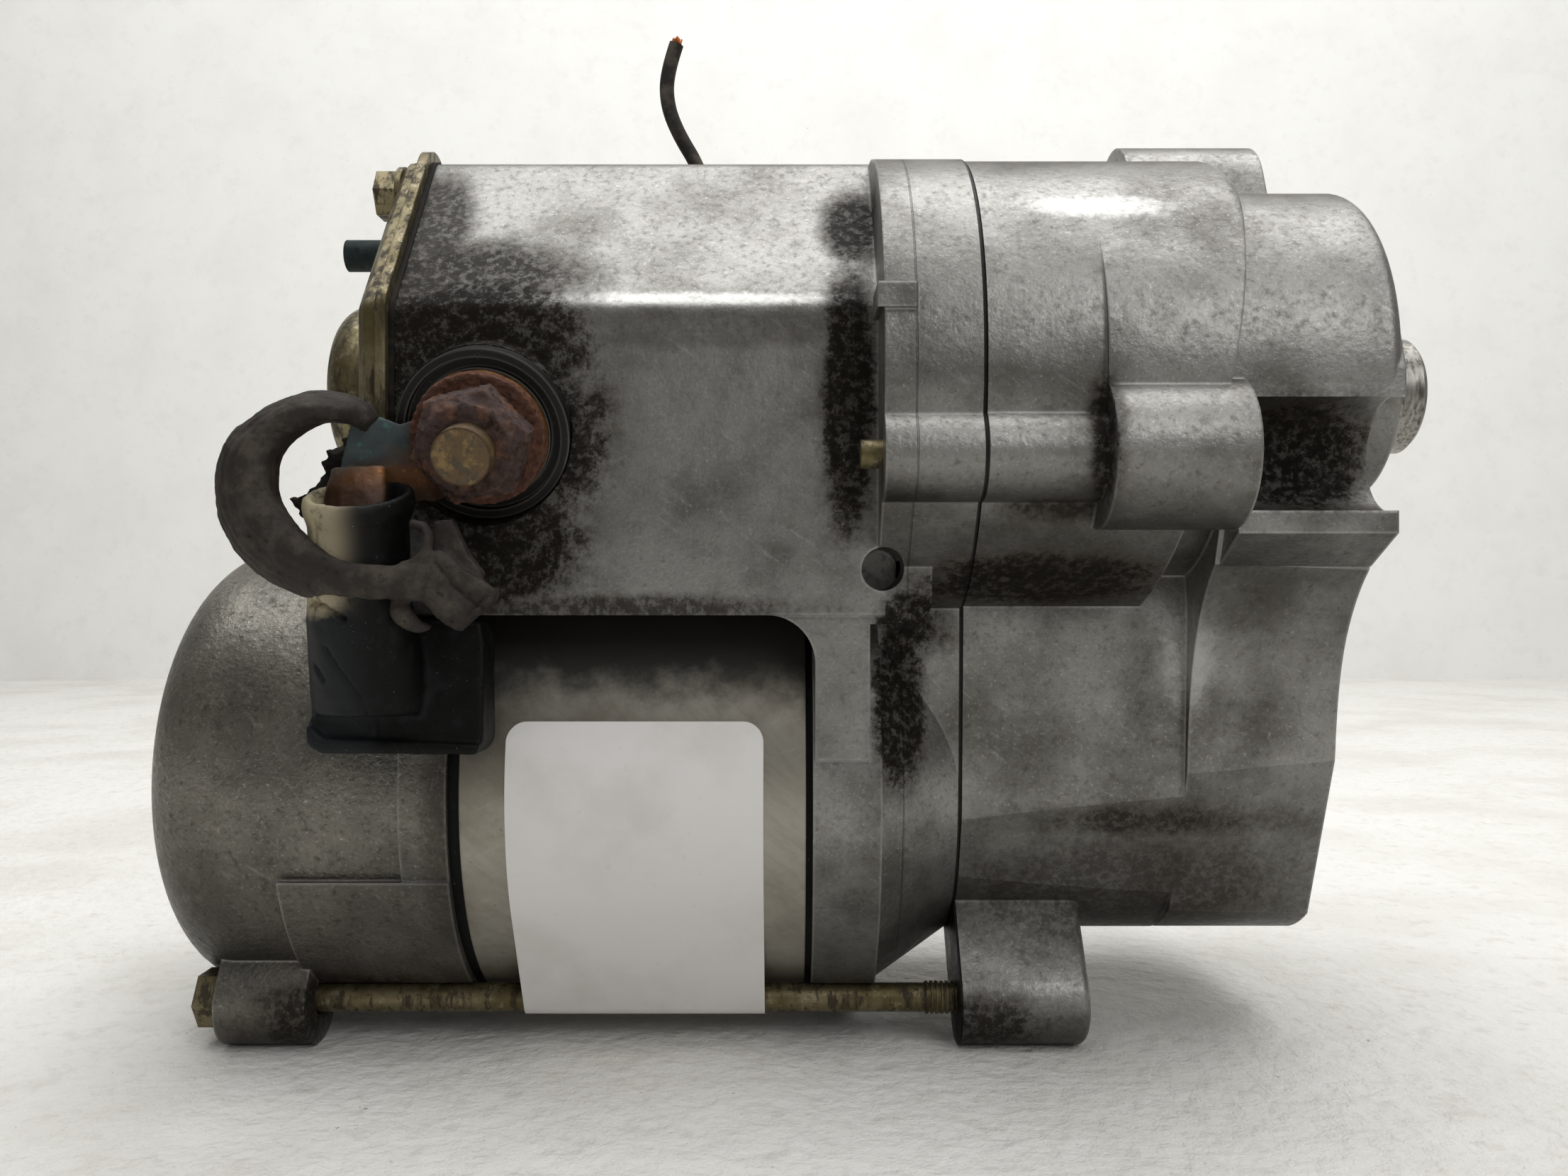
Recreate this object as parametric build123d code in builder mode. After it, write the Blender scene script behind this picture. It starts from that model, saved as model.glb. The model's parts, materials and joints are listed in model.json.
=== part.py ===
"""Starter motor with offset reduction gears and a concentric solenoid.

Millimetres.  X runs along the pinion shaft towards the engine, Z is up, and the
origin is where the pinion axis meets the mounting face.  The motor hangs below
and a little behind the pinion axis.
"""
from build123d import *
import math
import os

os.makedirs("parts", exist_ok=True)

# Gear train: armature pinion -> idler -> clutch gear, centres in one line
MODULE = 1.5
ARMATURE_TEETH = 11
IDLER_TEETH = 17
CLUTCH_TEETH = 40
PINION_TEETH = 9
PINION_MODULE = 2.54
PRESSURE_ANGLE = math.radians(20)
TOOTH_THINNING = 0.18
MOTOR_TILT = math.radians(14.54)
CLUTCH_TO_IDLER = MODULE * (CLUTCH_TEETH + IDLER_TEETH) / 2
CENTRE_DISTANCE = CLUTCH_TO_IDLER + MODULE * (IDLER_TEETH + ARMATURE_TEETH) / 2

# Axes, as (y, z)
PINION = (0.0, 0.0)
IDLER = (CLUTCH_TO_IDLER * math.sin(MOTOR_TILT), -CLUTCH_TO_IDLER * math.cos(MOTOR_TILT))
MOTOR = (CENTRE_DISTANCE * math.sin(MOTOR_TILT), -CENTRE_DISTANCE * math.cos(MOTOR_TILT))

# Stations along X, from the end frame to the mounting face
END_FRAME_REAR = -180.4
YOKE_REAR = -131.0
YOKE_FRONT = -80.6
SEAL_REAR_WIDTH = 1.8
SEAL_FRONT_WIDTH = 1.0
END_FRAME_FRONT = YOKE_REAR - SEAL_REAR_WIDTH
MOTOR_RING_REAR = YOKE_FRONT + SEAL_FRONT_WIDTH
MOTOR_RING_FRONT = -69.6
HOUSE_REAR = -139.5
FLANGE_REAR = -70.3
GEAR_WALL = -66.8
SEAM = -56.8
NOSE_REAR = -21.8
FACE = 0.0
PILOT_END = 8.7

# Motor
YOKE_RADIUS = 38.1
YOKE_WALL = 5.0
BORE_RADIUS = YOKE_RADIUS - YOKE_WALL
RING_RADIUS = 39.1
CORE_RADIUS = 27.0
CORE_SPAN = (-124.0, -90.0)
COMMUTATOR_RADIUS = 15.5
SHAFT_RADIUS = 5.0

# Through-bolts, M5, opposite each other around the motor
BOLT_CIRCLE = 40.6
BOLT_TILT = math.radians(33.45)
BOLT_OFFSET = (BOLT_CIRCLE * math.sin(BOLT_TILT), BOLT_CIRCLE * math.cos(BOLT_TILT))
NEAR_BOLT = (MOTOR[0] - BOLT_OFFSET[0], MOTOR[1] - BOLT_OFFSET[1])
FAR_BOLT = (MOTOR[0] + BOLT_OFFSET[0], MOTOR[1] + BOLT_OFFSET[1])
BOLT_SHANK = 2.2
BOLT_HOLE = 2.6
BOLT_BOSS = 7.0

# Switch housing: a house-shaped tube over the solenoid
HOUSE_HALF = 24.5
RIDGE_Z = 11.4
RIDGE_ROUND = 3.0
APEX = (0.0, 32.6)
APEX_RADIUS = 5.0
HOUSE_BOTTOM = -35.0
YOKE_CLEARANCE = 40.0
SOLENOID_BORE = 22.3
CLUTCH_BARREL = 36.3
FLANGE_RADIUS = 36.6
BARREL_FRONT = -17.8
BAND_REAR = -40.6
BAND = ((-7.3, 0.0), 30.0)
NOSE = [((-5.2, 0.0), 30.0), ((4.0, 0.0), 28.0)]
BOLT_BOSS_FRONT = -36.8
GEAR_CAVITY = 33.0
COVER_SCREWS = [APEX, (-19.0, -27.0), (20.5, -17.8)]

# Housing screws, M5, from the drive end into the switch housing
HOUSING_SCREWS = [(-31.4, -12.7), (31.0, 13.8)]
SCREW_BOSS = 6.6
HEAD_BOSS = 10.4
TROUGH_RADIUS = 8.0

# Mounting
EARS = [(26.0, 37.0), (42.0, -52.0)]
EAR_RADIUS = 12.0
EAR_THICKNESS = 23.6
EAR_HOLE = 5.25
EAR_THREAD = 4.25
PILOT_RADIUS = 16.5
NOSE_BORE = 14.8

# Drive
TRAVEL = 12.0
GEAR_SPAN = (-63.0, -51.0)
INNER_RADIUS = 12.5
CLUTCH_ROLLER = 3.1
CLUTCH_ROLLER_RING = INNER_RADIUS + CLUTCH_ROLLER + 0.08
OUTPUT_SHAFT = 5.5

# Terminals, M8 studs radial from the solenoid axis
STUD_X = -126.6
STUD_RADIUS = 4.0
STUD_SHANK = 3.5
NUT_ACROSS_FLATS = 13.0
SPOT_FACE = 25.0
CUP_RADIUS = 12.3
SPOT_RADIUS = CUP_RADIUS + 0.2


def disc(start, end, radius, centre=PINION, mode=Mode.ADD):
    """Cylinder along X between two stations, for use inside a part block."""
    with BuildSketch(Plane.YZ.offset(start)) as section:
        with Locations(centre):
            Circle(radius)
    extrude(section.sketch, amount=end - start, mode=mode)


def ring(start, end, outer, inner, centre=PINION, mode=Mode.ADD):
    """Tube along X between two stations."""
    with BuildSketch(Plane.YZ.offset(start)) as section:
        with Locations(centre):
            Circle(outer)
            Circle(inner, mode=Mode.SUBTRACT)
    extrude(section.sketch, amount=end - start, mode=mode)


def linked_discs(start, end, circles, mode=Mode.ADD):
    """Prism whose section is the hull of circles, each (centre, radius)."""
    with BuildSketch(Plane.YZ.offset(start)) as section:
        with BuildSketch(mode=Mode.PRIVATE) as rims:
            for centre, radius in circles:
                with Locations(centre):
                    Circle(radius)
        make_hull(rims.sketch.edges())
    extrude(section.sketch, amount=end - start, mode=mode)


def block(low, high, mode=Mode.ADD):
    """Box between two corners."""
    middle = [(a + b) / 2 for a, b in zip(low, high)]
    with Locations(tuple(middle)):
        Box(high[0] - low[0], high[1] - low[1], high[2] - low[2], mode=mode)


def hexagon(start, end, across_flats, centre=PINION):
    """Hexagonal prism along X."""
    with BuildSketch(Plane.YZ.offset(start)) as section:
        with Locations(centre):
            RegularPolygon(across_flats / 2, 6, major_radius=False)
    extrude(section.sketch, amount=end - start)


def tooth_points(teeth, module, centre, tooth_angle, addendum):
    """Outline of an involute spur gear as (y, z) points."""
    pitch = teeth * module / 2
    base = pitch * math.cos(PRESSURE_ANGLE)
    tip = pitch + addendum * module
    root = pitch - 1.15 * module
    half_at_pitch = math.pi / (2 * teeth) - TOOTH_THINNING / (2 * pitch)
    pitch_involute = math.tan(PRESSURE_ANGLE) - PRESSURE_ANGLE
    start = max(base, root)
    flank = []
    if root < base:
        flank.append((root, half_at_pitch + pitch_involute))
    for step in range(4):
        radius = start + (tip - start) * step / 3
        angle = math.acos(min(1.0, base / radius))
        flank.append((radius, half_at_pitch + pitch_involute - math.tan(angle) + angle))
    points = []
    for tooth in range(teeth):
        middle = tooth_angle + 2 * math.pi * tooth / teeth
        rising = [(radius, middle - half) for radius, half in flank]
        falling = [(radius, middle + half) for radius, half in reversed(flank)]
        for radius, angle in rising + falling:
            points.append((centre[0] + radius * math.cos(angle),
                           centre[1] + radius * math.sin(angle)))
    return points


def gear(start, end, teeth, module, centre, tooth_angle, addendum=0.8):
    """Spur gear along X."""
    with BuildSketch(Plane.YZ.offset(start)) as section:
        with BuildLine():
            Polyline(*tooth_points(teeth, module, centre, tooth_angle, addendum), close=True)
        make_face()
    extrude(section.sketch, amount=end - start)


def house_section(start, growth=0.0):
    """Section of the solenoid body: walls, sloped roof and the hollow over the yoke."""
    with BuildSketch(Plane.YZ.offset(start)) as section:
        with BuildSketch(mode=Mode.PRIVATE) as rims:
            wall_top = RIDGE_Z - RIDGE_ROUND
            with Locations((0, (wall_top + HOUSE_BOTTOM) / 2)):
                Rectangle(2 * HOUSE_HALF, wall_top - HOUSE_BOTTOM)
            with Locations((RIDGE_ROUND - HOUSE_HALF, wall_top), (HOUSE_HALF - RIDGE_ROUND, wall_top)):
                Circle(RIDGE_ROUND)
            with Locations(APEX):
                Circle(APEX_RADIUS)
        make_hull(rims.sketch.edges())
        with Locations(MOTOR):
            Circle(YOKE_CLEARANCE, mode=Mode.SUBTRACT)
        if growth:
            offset(amount=growth)
    return section.sketch


def coil_spring(start, end, radius, wire, turns, centre=PINION):
    """Round-wire compression spring along X, one solid."""
    pitch = (end - start - 2 * wire) / turns
    seat = Plane(origin=(start + wire, centre[0], centre[1]), x_dir=(0, 1, 0), z_dir=(1, 0, 0))
    helix = seat * Helix(pitch=pitch, height=pitch * turns, radius=radius)
    section = Plane(origin=helix @ 0, z_dir=helix % 0) * Circle(wire)
    return sweep(section, path=helix, is_frenet=True)


# Directions along the gear centre line, for putting the teeth in mesh
TOWARDS_MOTOR = math.atan2(MOTOR[1], MOTOR[0])
TOWARDS_PINION = TOWARDS_MOTOR + math.pi

# ---------------------------------------------------------------- drive housing
GEAR_CASE = [(MOTOR, 27.8), ((12.0, -36.0), 25.0)]
FACET_LOW = Vector(FACE, -2.2, -86.2)
FACET_RIGHT = Vector(FACE, -12.6, -59.2)
FACET_LEFT = Vector(SEAM, -9.6, -71.3)
facet_normal = (FACET_RIGHT - FACET_LOW).cross(FACET_LEFT - FACET_LOW).normalized()
if facet_normal.Y > 0:
    facet_normal = facet_normal * -1
FACET = Plane(origin=FACET_LOW, z_dir=facet_normal)
SKIRT_BOTTOM = -87.2
POCKET_FLOOR = -36.0

# Barrel over the clutch, cut square to its slanting front face, and the thicker band on it
with BuildPart() as barrel:
    disc(SEAM, BARREL_FRONT, CLUTCH_BARREL)
    fillet(barrel.edges().filter_by(GeomType.CIRCLE).sort_by(Axis.X)[-1], radius=3.2)
    disc(BAND_REAR, BARREL_FRONT - 1.0, BAND[1], BAND[0])
    split(bisect_by=Plane(origin=(-23.6, 0, 0), z_dir=(1, 0, -0.176)), keep=Keep.BOTTOM)

with BuildPart() as nose:
    linked_discs(POCKET_FLOOR, FACE, NOSE)
    fillet(nose.faces().sort_by(Axis.X)[-1].edges(), radius=2.0)

with BuildPart() as drive_housing:
    linked_discs(SEAM, NOSE_REAR, GEAR_CASE)
    with BuildSketch(Plane.YZ.offset(NOSE_REAR - 0.6)) as skirt:
        with BuildLine():
            Polyline((-15, 0), (-33.0, -20.7), (-33.0, -23.6))
            Spline((-33.0, -23.6), (-25.0, -28.0), (-20.0, -33.6), (-16.6, -40.0), (-14.2, -49.4),
                   (-13.0, -61.7))
            ThreePointArc((-13.0, -61.7), (-8.6, -77.6), (4.0, SKIRT_BOTTOM))
            Polyline((4.0, SKIRT_BOTTOM), (28.0, SKIRT_BOTTOM), (46.0, -60.0), (46.0, -40.0), (30.0, -10.0), (-15, 0))
        make_face()
    extrude(amount=FACE - NOSE_REAR + 0.6)
    split(bisect_by=FACET, keep=Keep.BOTTOM)
    add(barrel.part)
    add(nose.part)
    with BuildSketch(Plane.YZ.offset(NOSE_REAR)):
        with BuildLine():
            Polyline((-27.6, 17.0), (-32.4, 6.6), (-35.0, -1.2), (-35.0, -5.3), (-33.0, -20.7),
                     (-33.0, -23.6), (-25.0, -28.0), (-15.0, -30.0), (-10.0, 0.0), (-27.6, 17.0))
        make_face()
    extrude(amount=FACE - NOSE_REAR)
    # Screw bosses on both sides of the barrel
    for centre in HOUSING_SCREWS:
        inward = (centre[0] * 0.7, centre[1] * 0.7)
        linked_discs(SEAM, -39.0, [(centre, SCREW_BOSS), (inward, SCREW_BOSS)])
        linked_discs(BAND_REAR, NOSE_REAR, [(centre, HEAD_BOSS), (inward, HEAD_BOSS)])
    # Threaded bosses for the through-bolts
    linked_discs(SEAM, BOLT_BOSS_FRONT, [(NEAR_BOLT, BOLT_BOSS), ((4.0, -82.0), BOLT_BOSS)])
    linked_discs(SEAM, BOLT_BOSS_FRONT, [(FAR_BOLT, BOLT_BOSS), ((26.0, -24.0), BOLT_BOSS)])
    # Mounting ears
    linked_discs(FACE - EAR_THICKNESS, FACE, [(EARS[0], EAR_RADIUS), ((14.0, 16.0), 9.0)])
    linked_discs(FACE - EAR_THICKNESS, FACE, [(EARS[1], EAR_RADIUS), ((20.0, -48.0), EAR_RADIUS)])
    boss_floor = [e for e in drive_housing.edges().filter_by(GeomType.CIRCLE)
                  if abs(e.center().X - BOLT_BOSS_FRONT) < 0.01 and abs(e.radius - BOLT_BOSS) < 0.01]
    fillet(boss_floor, radius=1.5)
    # Pilot ring and nose bore
    disc(FACE, PILOT_END, PILOT_RADIUS)
    disc(-20.5, PILOT_END, NOSE_BORE, mode=Mode.SUBTRACT)
    disc(-22.5, -20.0, 13.6, mode=Mode.SUBTRACT)
    disc(-31.2, -22.0, 21.0, mode=Mode.SUBTRACT)
    disc(-34.0, -31.0, 24.6, mode=Mode.SUBTRACT)
    disc(SEAM, -33.5, GEAR_CAVITY, mode=Mode.SUBTRACT)
    linked_discs(SEAM, -47.0, [(IDLER, 16.0), (MOTOR, 12.4)], mode=Mode.SUBTRACT)
    disc(-47.5, -40.0, 5.0, IDLER, mode=Mode.SUBTRACT)
    # Two cored pockets behind the mounting face, with a rib left between them
    block((POCKET_FLOOR, -3.5, -70.0), (FACE + 1, 8.0, -42.0), mode=Mode.SUBTRACT)
    block((POCKET_FLOOR, 11.5, -80.0), (FACE + 1, 24.0, -62.0), mode=Mode.SUBTRACT)
    # Housing screw holes, head counterbores and the open screwdriver trough
    for centre in HOUSING_SCREWS:
        disc(SEAM - 1, -30.0, 2.6, centre, mode=Mode.SUBTRACT)
        disc(-30.0, NOSE_REAR + 0.1, 5.6, centre, mode=Mode.SUBTRACT)
        disc(NOSE_REAR, FACE + 1, TROUGH_RADIUS, centre, mode=Mode.SUBTRACT)
    block((NOSE_REAR, -50.0, -20.4), (FACE + 1, -31.0, -5.3), mode=Mode.SUBTRACT)
    # Through-bolt threads and mounting holes
    for centre in (NEAR_BOLT, FAR_BOLT):
        disc(SEAM - 1, BOLT_BOSS_FRONT - 2.0, BOLT_SHANK + 0.02, centre, mode=Mode.SUBTRACT)
    disc(FACE - EAR_THICKNESS - 1, FACE + 1, EAR_HOLE, EARS[0], mode=Mode.SUBTRACT)
    disc(FACE - 20.0, FACE + 1, EAR_THREAD, EARS[1], mode=Mode.SUBTRACT)

# --------------------------------------------------------------- switch housing
RIB_FRONT_Y = -23.5
RIB_CORNER = 7.0
BREATHER = (-69.6, -28.4)

with BuildPart() as switch_housing:
    extrude(house_section(HOUSE_REAR), amount=FLANGE_REAR - HOUSE_REAR + 1.0)
    disc(MOTOR_RING_REAR, MOTOR_RING_FRONT, RING_RADIUS, MOTOR)
    # Cone from the motor ring down to the gear case outline
    with BuildSketch(Plane.YZ.offset(MOTOR_RING_FRONT)) as wide:
        with Locations(MOTOR):
            Circle(36.5)
    with BuildSketch(Plane.YZ.offset(SEAM)) as narrow:
        with Locations(MOTOR):
            Circle(GEAR_CASE[0][1])
    loft([wide.sketch, narrow.sketch])
    linked_discs(MOTOR_RING_FRONT - 0.5, SEAM, GEAR_CASE)
    disc(FLANGE_REAR, SEAM, FLANGE_RADIUS)
    # End of the ridge, where it runs out on the flange
    block((FLANGE_REAR - 1.0, -36.9, 6.4), (-65.9, -28.0, 9.8))
    # Front rib down to the motor ring, with the breather tab beside it
    with BuildSketch(Plane.XZ.offset(-RIB_FRONT_Y)) as rib:
        with Locations(((-79.3 - 71.4) / 2, -42.5)):
            Rectangle(7.9, 27.0)
        with Locations(((-79.3 - 62.5) / 2, -27.0)):
            RectangleRounded(16.8, 18.6, 3.4)
    extrude(rib.sketch, amount=-11.0)
    # Sweeping corner where the rib meets the underside of the body
    with BuildSketch(Plane.XZ.offset(-RIB_FRONT_Y)) as corner:
        with Locations((-79.3 - RIB_CORNER / 2, HOUSE_BOTTOM - RIB_CORNER / 2)):
            Rectangle(RIB_CORNER, RIB_CORNER)
        with Locations((-79.3 - RIB_CORNER, HOUSE_BOTTOM - RIB_CORNER)):
            Circle(RIB_CORNER, mode=Mode.SUBTRACT)
    extrude(corner.sketch, amount=-8.0)
    # Screw bosses and lugs for the through-bolts
    for centre in HOUSING_SCREWS:
        inward = (centre[0] * 0.7, centre[1] * 0.7)
        linked_discs(FLANGE_REAR, SEAM, [(centre, SCREW_BOSS), (inward, SCREW_BOSS)])
    linked_discs(FLANGE_REAR, SEAM, [(FAR_BOLT, BOLT_BOSS), ((26.0, -24.0), BOLT_BOSS)])
    # Terminal spot faces, square to each stud
    for degrees in (200.0, -10.0):
        direction = Vector(0, math.cos(math.radians(degrees)), math.sin(math.radians(degrees)))
        seat = Plane(origin=Vector(STUD_X, 0, 0) + direction * 18.0, x_dir=(1, 0, 0), z_dir=direction)
        with BuildSketch(seat) as boss:
            Circle(SPOT_RADIUS)
        extrude(boss.sketch, amount=SPOT_FACE - 18.0)
        with BuildSketch(seat.offset(SPOT_FACE - 18.0)) as face:
            Circle(SPOT_RADIUS)
        extrude(face.sketch, amount=12.0, mode=Mode.SUBTRACT)
        with BuildSketch(seat.offset(-6.0)) as hole:
            Circle(6.0)
        extrude(hole.sketch, amount=20.0, mode=Mode.SUBTRACT)
    # Hollow over the yoke, solenoid bore and push-rod hole
    disc(HOUSE_REAR - 1, MOTOR_RING_REAR, YOKE_CLEARANCE, MOTOR, mode=Mode.SUBTRACT)
    disc(HOUSE_REAR - 1, -76.0, SOLENOID_BORE, mode=Mode.SUBTRACT)
    disc(-77.0, -70.0, 4.6, mode=Mode.SUBTRACT)
    disc(-73.8, GEAR_WALL, 14.0, mode=Mode.SUBTRACT)
    # Motor front wall: coil recess, bearing pocket and pinion hole
    ring(MOTOR_RING_REAR - 1, -74.6, BORE_RADIUS, 17.0, MOTOR, mode=Mode.SUBTRACT)
    disc(MOTOR_RING_REAR - 1, -70.6, 13.0, MOTOR, mode=Mode.SUBTRACT)
    disc(-71.0, -66.0, 10.4, MOTOR, mode=Mode.SUBTRACT)
    disc(GEAR_WALL, SEAM + 1, GEAR_CAVITY, mode=Mode.SUBTRACT)
    linked_discs(GEAR_WALL, SEAM + 1, [(IDLER, 16.0), (MOTOR, 12.4)], mode=Mode.SUBTRACT)
    disc(-72.0, GEAR_WALL + 0.1, 5.0, IDLER, mode=Mode.SUBTRACT)
    # Holes: breather, screws, through-bolts, cover screws
    with BuildSketch(Plane.XZ.offset(HOUSE_HALF + 4.0)) as breather:
        with Locations(BREATHER):
            Circle(3.1)
    extrude(breather.sketch, amount=-14.5, mode=Mode.SUBTRACT)
    for centre in HOUSING_SCREWS:
        disc(-90.0, SEAM + 1, 2.05, centre, mode=Mode.SUBTRACT)
    for centre in (NEAR_BOLT, FAR_BOLT):
        disc(-90.0, SEAM + 1, BOLT_HOLE, centre, mode=Mode.SUBTRACT)
    for centre in COVER_SCREWS:
        disc(HOUSE_REAR - 1, HOUSE_REAR + 9.0, 2.0, centre, mode=Mode.SUBTRACT)

# ------------------------------------------------------------------------- yoke
with BuildPart() as yoke:
    ring(YOKE_REAR, YOKE_FRONT, YOKE_RADIUS, BORE_RADIUS, MOTOR)

with BuildPart() as yoke_seal_rear:
    ring(END_FRAME_FRONT, YOKE_REAR, YOKE_RADIUS - 0.6, 34.0, MOTOR)

with BuildPart() as yoke_seal_front:
    ring(YOKE_FRONT, MOTOR_RING_REAR, YOKE_RADIUS - 0.6, 34.0, MOTOR)

# -------------------------------------------------------------------- end frame
PAD_SPAN = (-151.8, -125.4)
NOTCH_TOP = -37.4
NOTCH_BOTTOM = -54.1

with BuildPart() as end_frame:
    disc(END_FRAME_REAR, END_FRAME_FRONT, YOKE_RADIUS - 0.4, MOTOR)
    rear_rim = end_frame.edges().filter_by(GeomType.CIRCLE).sort_by(Axis.X)[0]
    fillet(rear_rim, radius=12.0)
    disc(END_FRAME_FRONT - 7.0, END_FRAME_FRONT, YOKE_RADIUS + 0.4, MOTOR)
    for centre in (NEAR_BOLT, FAR_BOLT):
        towards = ((centre[0] + MOTOR[0]) / 2, (centre[1] + MOTOR[1]) / 2)
        linked_discs(-170.8, -156.8, [(centre, BOLT_BOSS), (towards, BOLT_BOSS)])
    # Raised block beside the near boss
    with BuildSketch(Plane.YZ.offset(-158.0)) as raised:
        with BuildLine():
            Polyline((-17.0, -74.2), (-24.0, -74.2), (-24.0, -98.2), (8.0, -102.6), (8.0, -74.2), (-17.0, -74.2))
        make_face()
        with Locations(MOTOR):
            Circle(YOKE_RADIUS + 0.9, mode=Mode.INTERSECT)
    extrude(raised.sketch, amount=END_FRAME_FRONT + 158.0)
    disc(-175.4, END_FRAME_FRONT + 1, BORE_RADIUS - 2.5, MOTOR, mode=Mode.SUBTRACT)
    disc(-177.4, -175.0, 11.0, MOTOR, mode=Mode.SUBTRACT)
    for centre in (NEAR_BOLT, FAR_BOLT):
        disc(-172.0, END_FRAME_FRONT + 1, BOLT_HOLE, centre, mode=Mode.SUBTRACT)
        disc(END_FRAME_REAR - 1, -170.8, 5.8, centre, mode=Mode.SUBTRACT)
    block((PAD_SPAN[0], -40.0, NOTCH_BOTTOM), (END_FRAME_FRONT + 1, 2.0, NOTCH_TOP), mode=Mode.SUBTRACT)

# ----------------------------------------------------------- cover and its seal
COVER_FACE = -145.0
COVER_FLANGE = -141.8
GASKET_REAR = -140.3
DOME_RADIUS = 14.5
DOME_REAR = -154.4
COVER_WALL = 1.4

with BuildPart() as cover_gasket:
    extrude(house_section(GASKET_REAR, 0.3), amount=HOUSE_REAR - GASKET_REAR)
    disc(GASKET_REAR - 1, HOUSE_REAR + 1, SOLENOID_BORE, mode=Mode.SUBTRACT)
    for centre in COVER_SCREWS:
        disc(GASKET_REAR - 1, HOUSE_REAR + 1, 2.3, centre, mode=Mode.SUBTRACT)

with BuildPart() as switch_cover:
    extrude(house_section(COVER_FLANGE, 1.9), amount=GASKET_REAR - COVER_FLANGE)
    shoulder = COVER_FACE + 1.1
    loft([house_section(COVER_FLANGE, 0.4), house_section(shoulder, 0.1)], ruled=True)
    loft([house_section(shoulder, 0.1), house_section(COVER_FACE, -1.0)], ruled=True)
    disc(DOME_REAR, COVER_FACE + 0.5, DOME_RADIUS)
    dome_rim = switch_cover.edges().filter_by(GeomType.CIRCLE).sort_by(Axis.X)[0]
    fillet(dome_rim, radius=5.0)
    disc(DOME_REAR + COVER_WALL, GASKET_REAR, DOME_RADIUS - 5.0, mode=Mode.SUBTRACT)
    disc(DOME_REAR + 3.6, GASKET_REAR, DOME_RADIUS - 2.4, mode=Mode.SUBTRACT)
    disc(DOME_REAR + 6.0, GASKET_REAR, DOME_RADIUS - COVER_WALL, mode=Mode.SUBTRACT)
    disc(COVER_FACE + COVER_WALL, GASKET_REAR, SOLENOID_BORE, mode=Mode.SUBTRACT)
    for centre in COVER_SCREWS:
        disc(COVER_FACE - 1, GASKET_REAR + 1, 2.3, centre, mode=Mode.SUBTRACT)

with BuildPart() as cover_screws:
    for centre in COVER_SCREWS:
        disc(COVER_FACE, HOUSE_REAR + 8.0, 1.98, centre)
        disc(COVER_FACE - 0.9, COVER_FACE, 4.6, centre)
        hexagon(COVER_FACE - 4.5, COVER_FACE - 0.9, 7.0, centre)

# -------------------------------------------------------------------- fasteners
with BuildPart() as housing_screws:
    for centre in HOUSING_SCREWS:
        disc(-73.3, -30.0, 2.0, centre)
        disc(-30.0, -29.0, 5.2, centre)
        hexagon(-29.0, -24.6, 8.0, centre)
        disc(-25.6, -24.0, 2.2, centre, mode=Mode.SUBTRACT)

THREAD_PITCH = 0.8
with BuildPart() as through_bolts:
    for centre in (NEAR_BOLT, FAR_BOLT):
        disc(-170.8, BOLT_BOSS_FRONT - 3.0, BOLT_SHANK, centre)
        disc(-171.8, -170.8, 5.0, centre)
        hexagon(-175.1, -171.8, 8.0, centre)
        for turn in range(6):
            crest = -61.6 + THREAD_PITCH * turn
            disc(crest, crest + THREAD_PITCH / 2, BOLT_SHANK + 0.3, centre)

# --------------------------------------------------------------- motor internals
def sector(outer, inner, middle_angle, spread, start, end):
    """Part of a tube around the motor axis, angles in degrees."""
    reach = outer * 1.6
    low = math.radians(middle_angle - spread / 2)
    high = math.radians(middle_angle + spread / 2)
    with BuildSketch(Plane.YZ.offset(start)) as section:
        with Locations(MOTOR):
            Circle(outer)
            Circle(inner, mode=Mode.SUBTRACT)
        with BuildLine():
            Polyline(MOTOR,
                     (MOTOR[0] + reach * math.cos(low), MOTOR[1] + reach * math.sin(low)),
                     (MOTOR[0] + reach * math.cos(high), MOTOR[1] + reach * math.sin(high)),
                     MOTOR)
        make_face(mode=Mode.INTERSECT)
    return extrude(section.sketch, amount=end - start, mode=Mode.PRIVATE)


POLE_ANGLES = [45.0 + 90.0 * pole for pole in range(4)]
POLE_INNER = CORE_RADIUS + 1.0
pole_solids = [sector(BORE_RADIUS, POLE_INNER, angle, 52.0, *CORE_SPAN) for angle in POLE_ANGLES]
coil_windows = [sector(BORE_RADIUS + 1, POLE_INNER - 1, angle, 54.0, CORE_SPAN[0] - 0.3, CORE_SPAN[1] + 0.3)
                for angle in POLE_ANGLES]
coil_frames = [sector(BORE_RADIUS - 0.3, POLE_INNER + 0.5, angle, 80.0, CORE_SPAN[0] - 5, CORE_SPAN[1] + 5)
               for angle in POLE_ANGLES]

with BuildPart() as pole_shoes:
    add(pole_solids)

with BuildPart() as field_coils:
    for frame_solid, window in zip(coil_frames, coil_windows):
        add(frame_solid - window)

HOLDER_REAR = -152.0
with BuildPart() as brush_holder:
    ring(HOLDER_REAR, HOLDER_REAR + 1.6, BORE_RADIUS - 2.6, 18.5, MOTOR)
    for angle in POLE_ANGLES:
        box_plane = Plane(origin=(HOLDER_REAR + 1.6, *MOTOR), x_dir=(0, 1, 0), z_dir=(1, 0, 0))
        with BuildSketch(box_plane.rotated((angle, 0, 0))) as guide:
            with Locations((23.6, 0)):
                Rectangle(10.0, 10.6)
                Rectangle(12.0, 7.4, mode=Mode.SUBTRACT)
        extrude(guide.sketch, amount=12.5)

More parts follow.
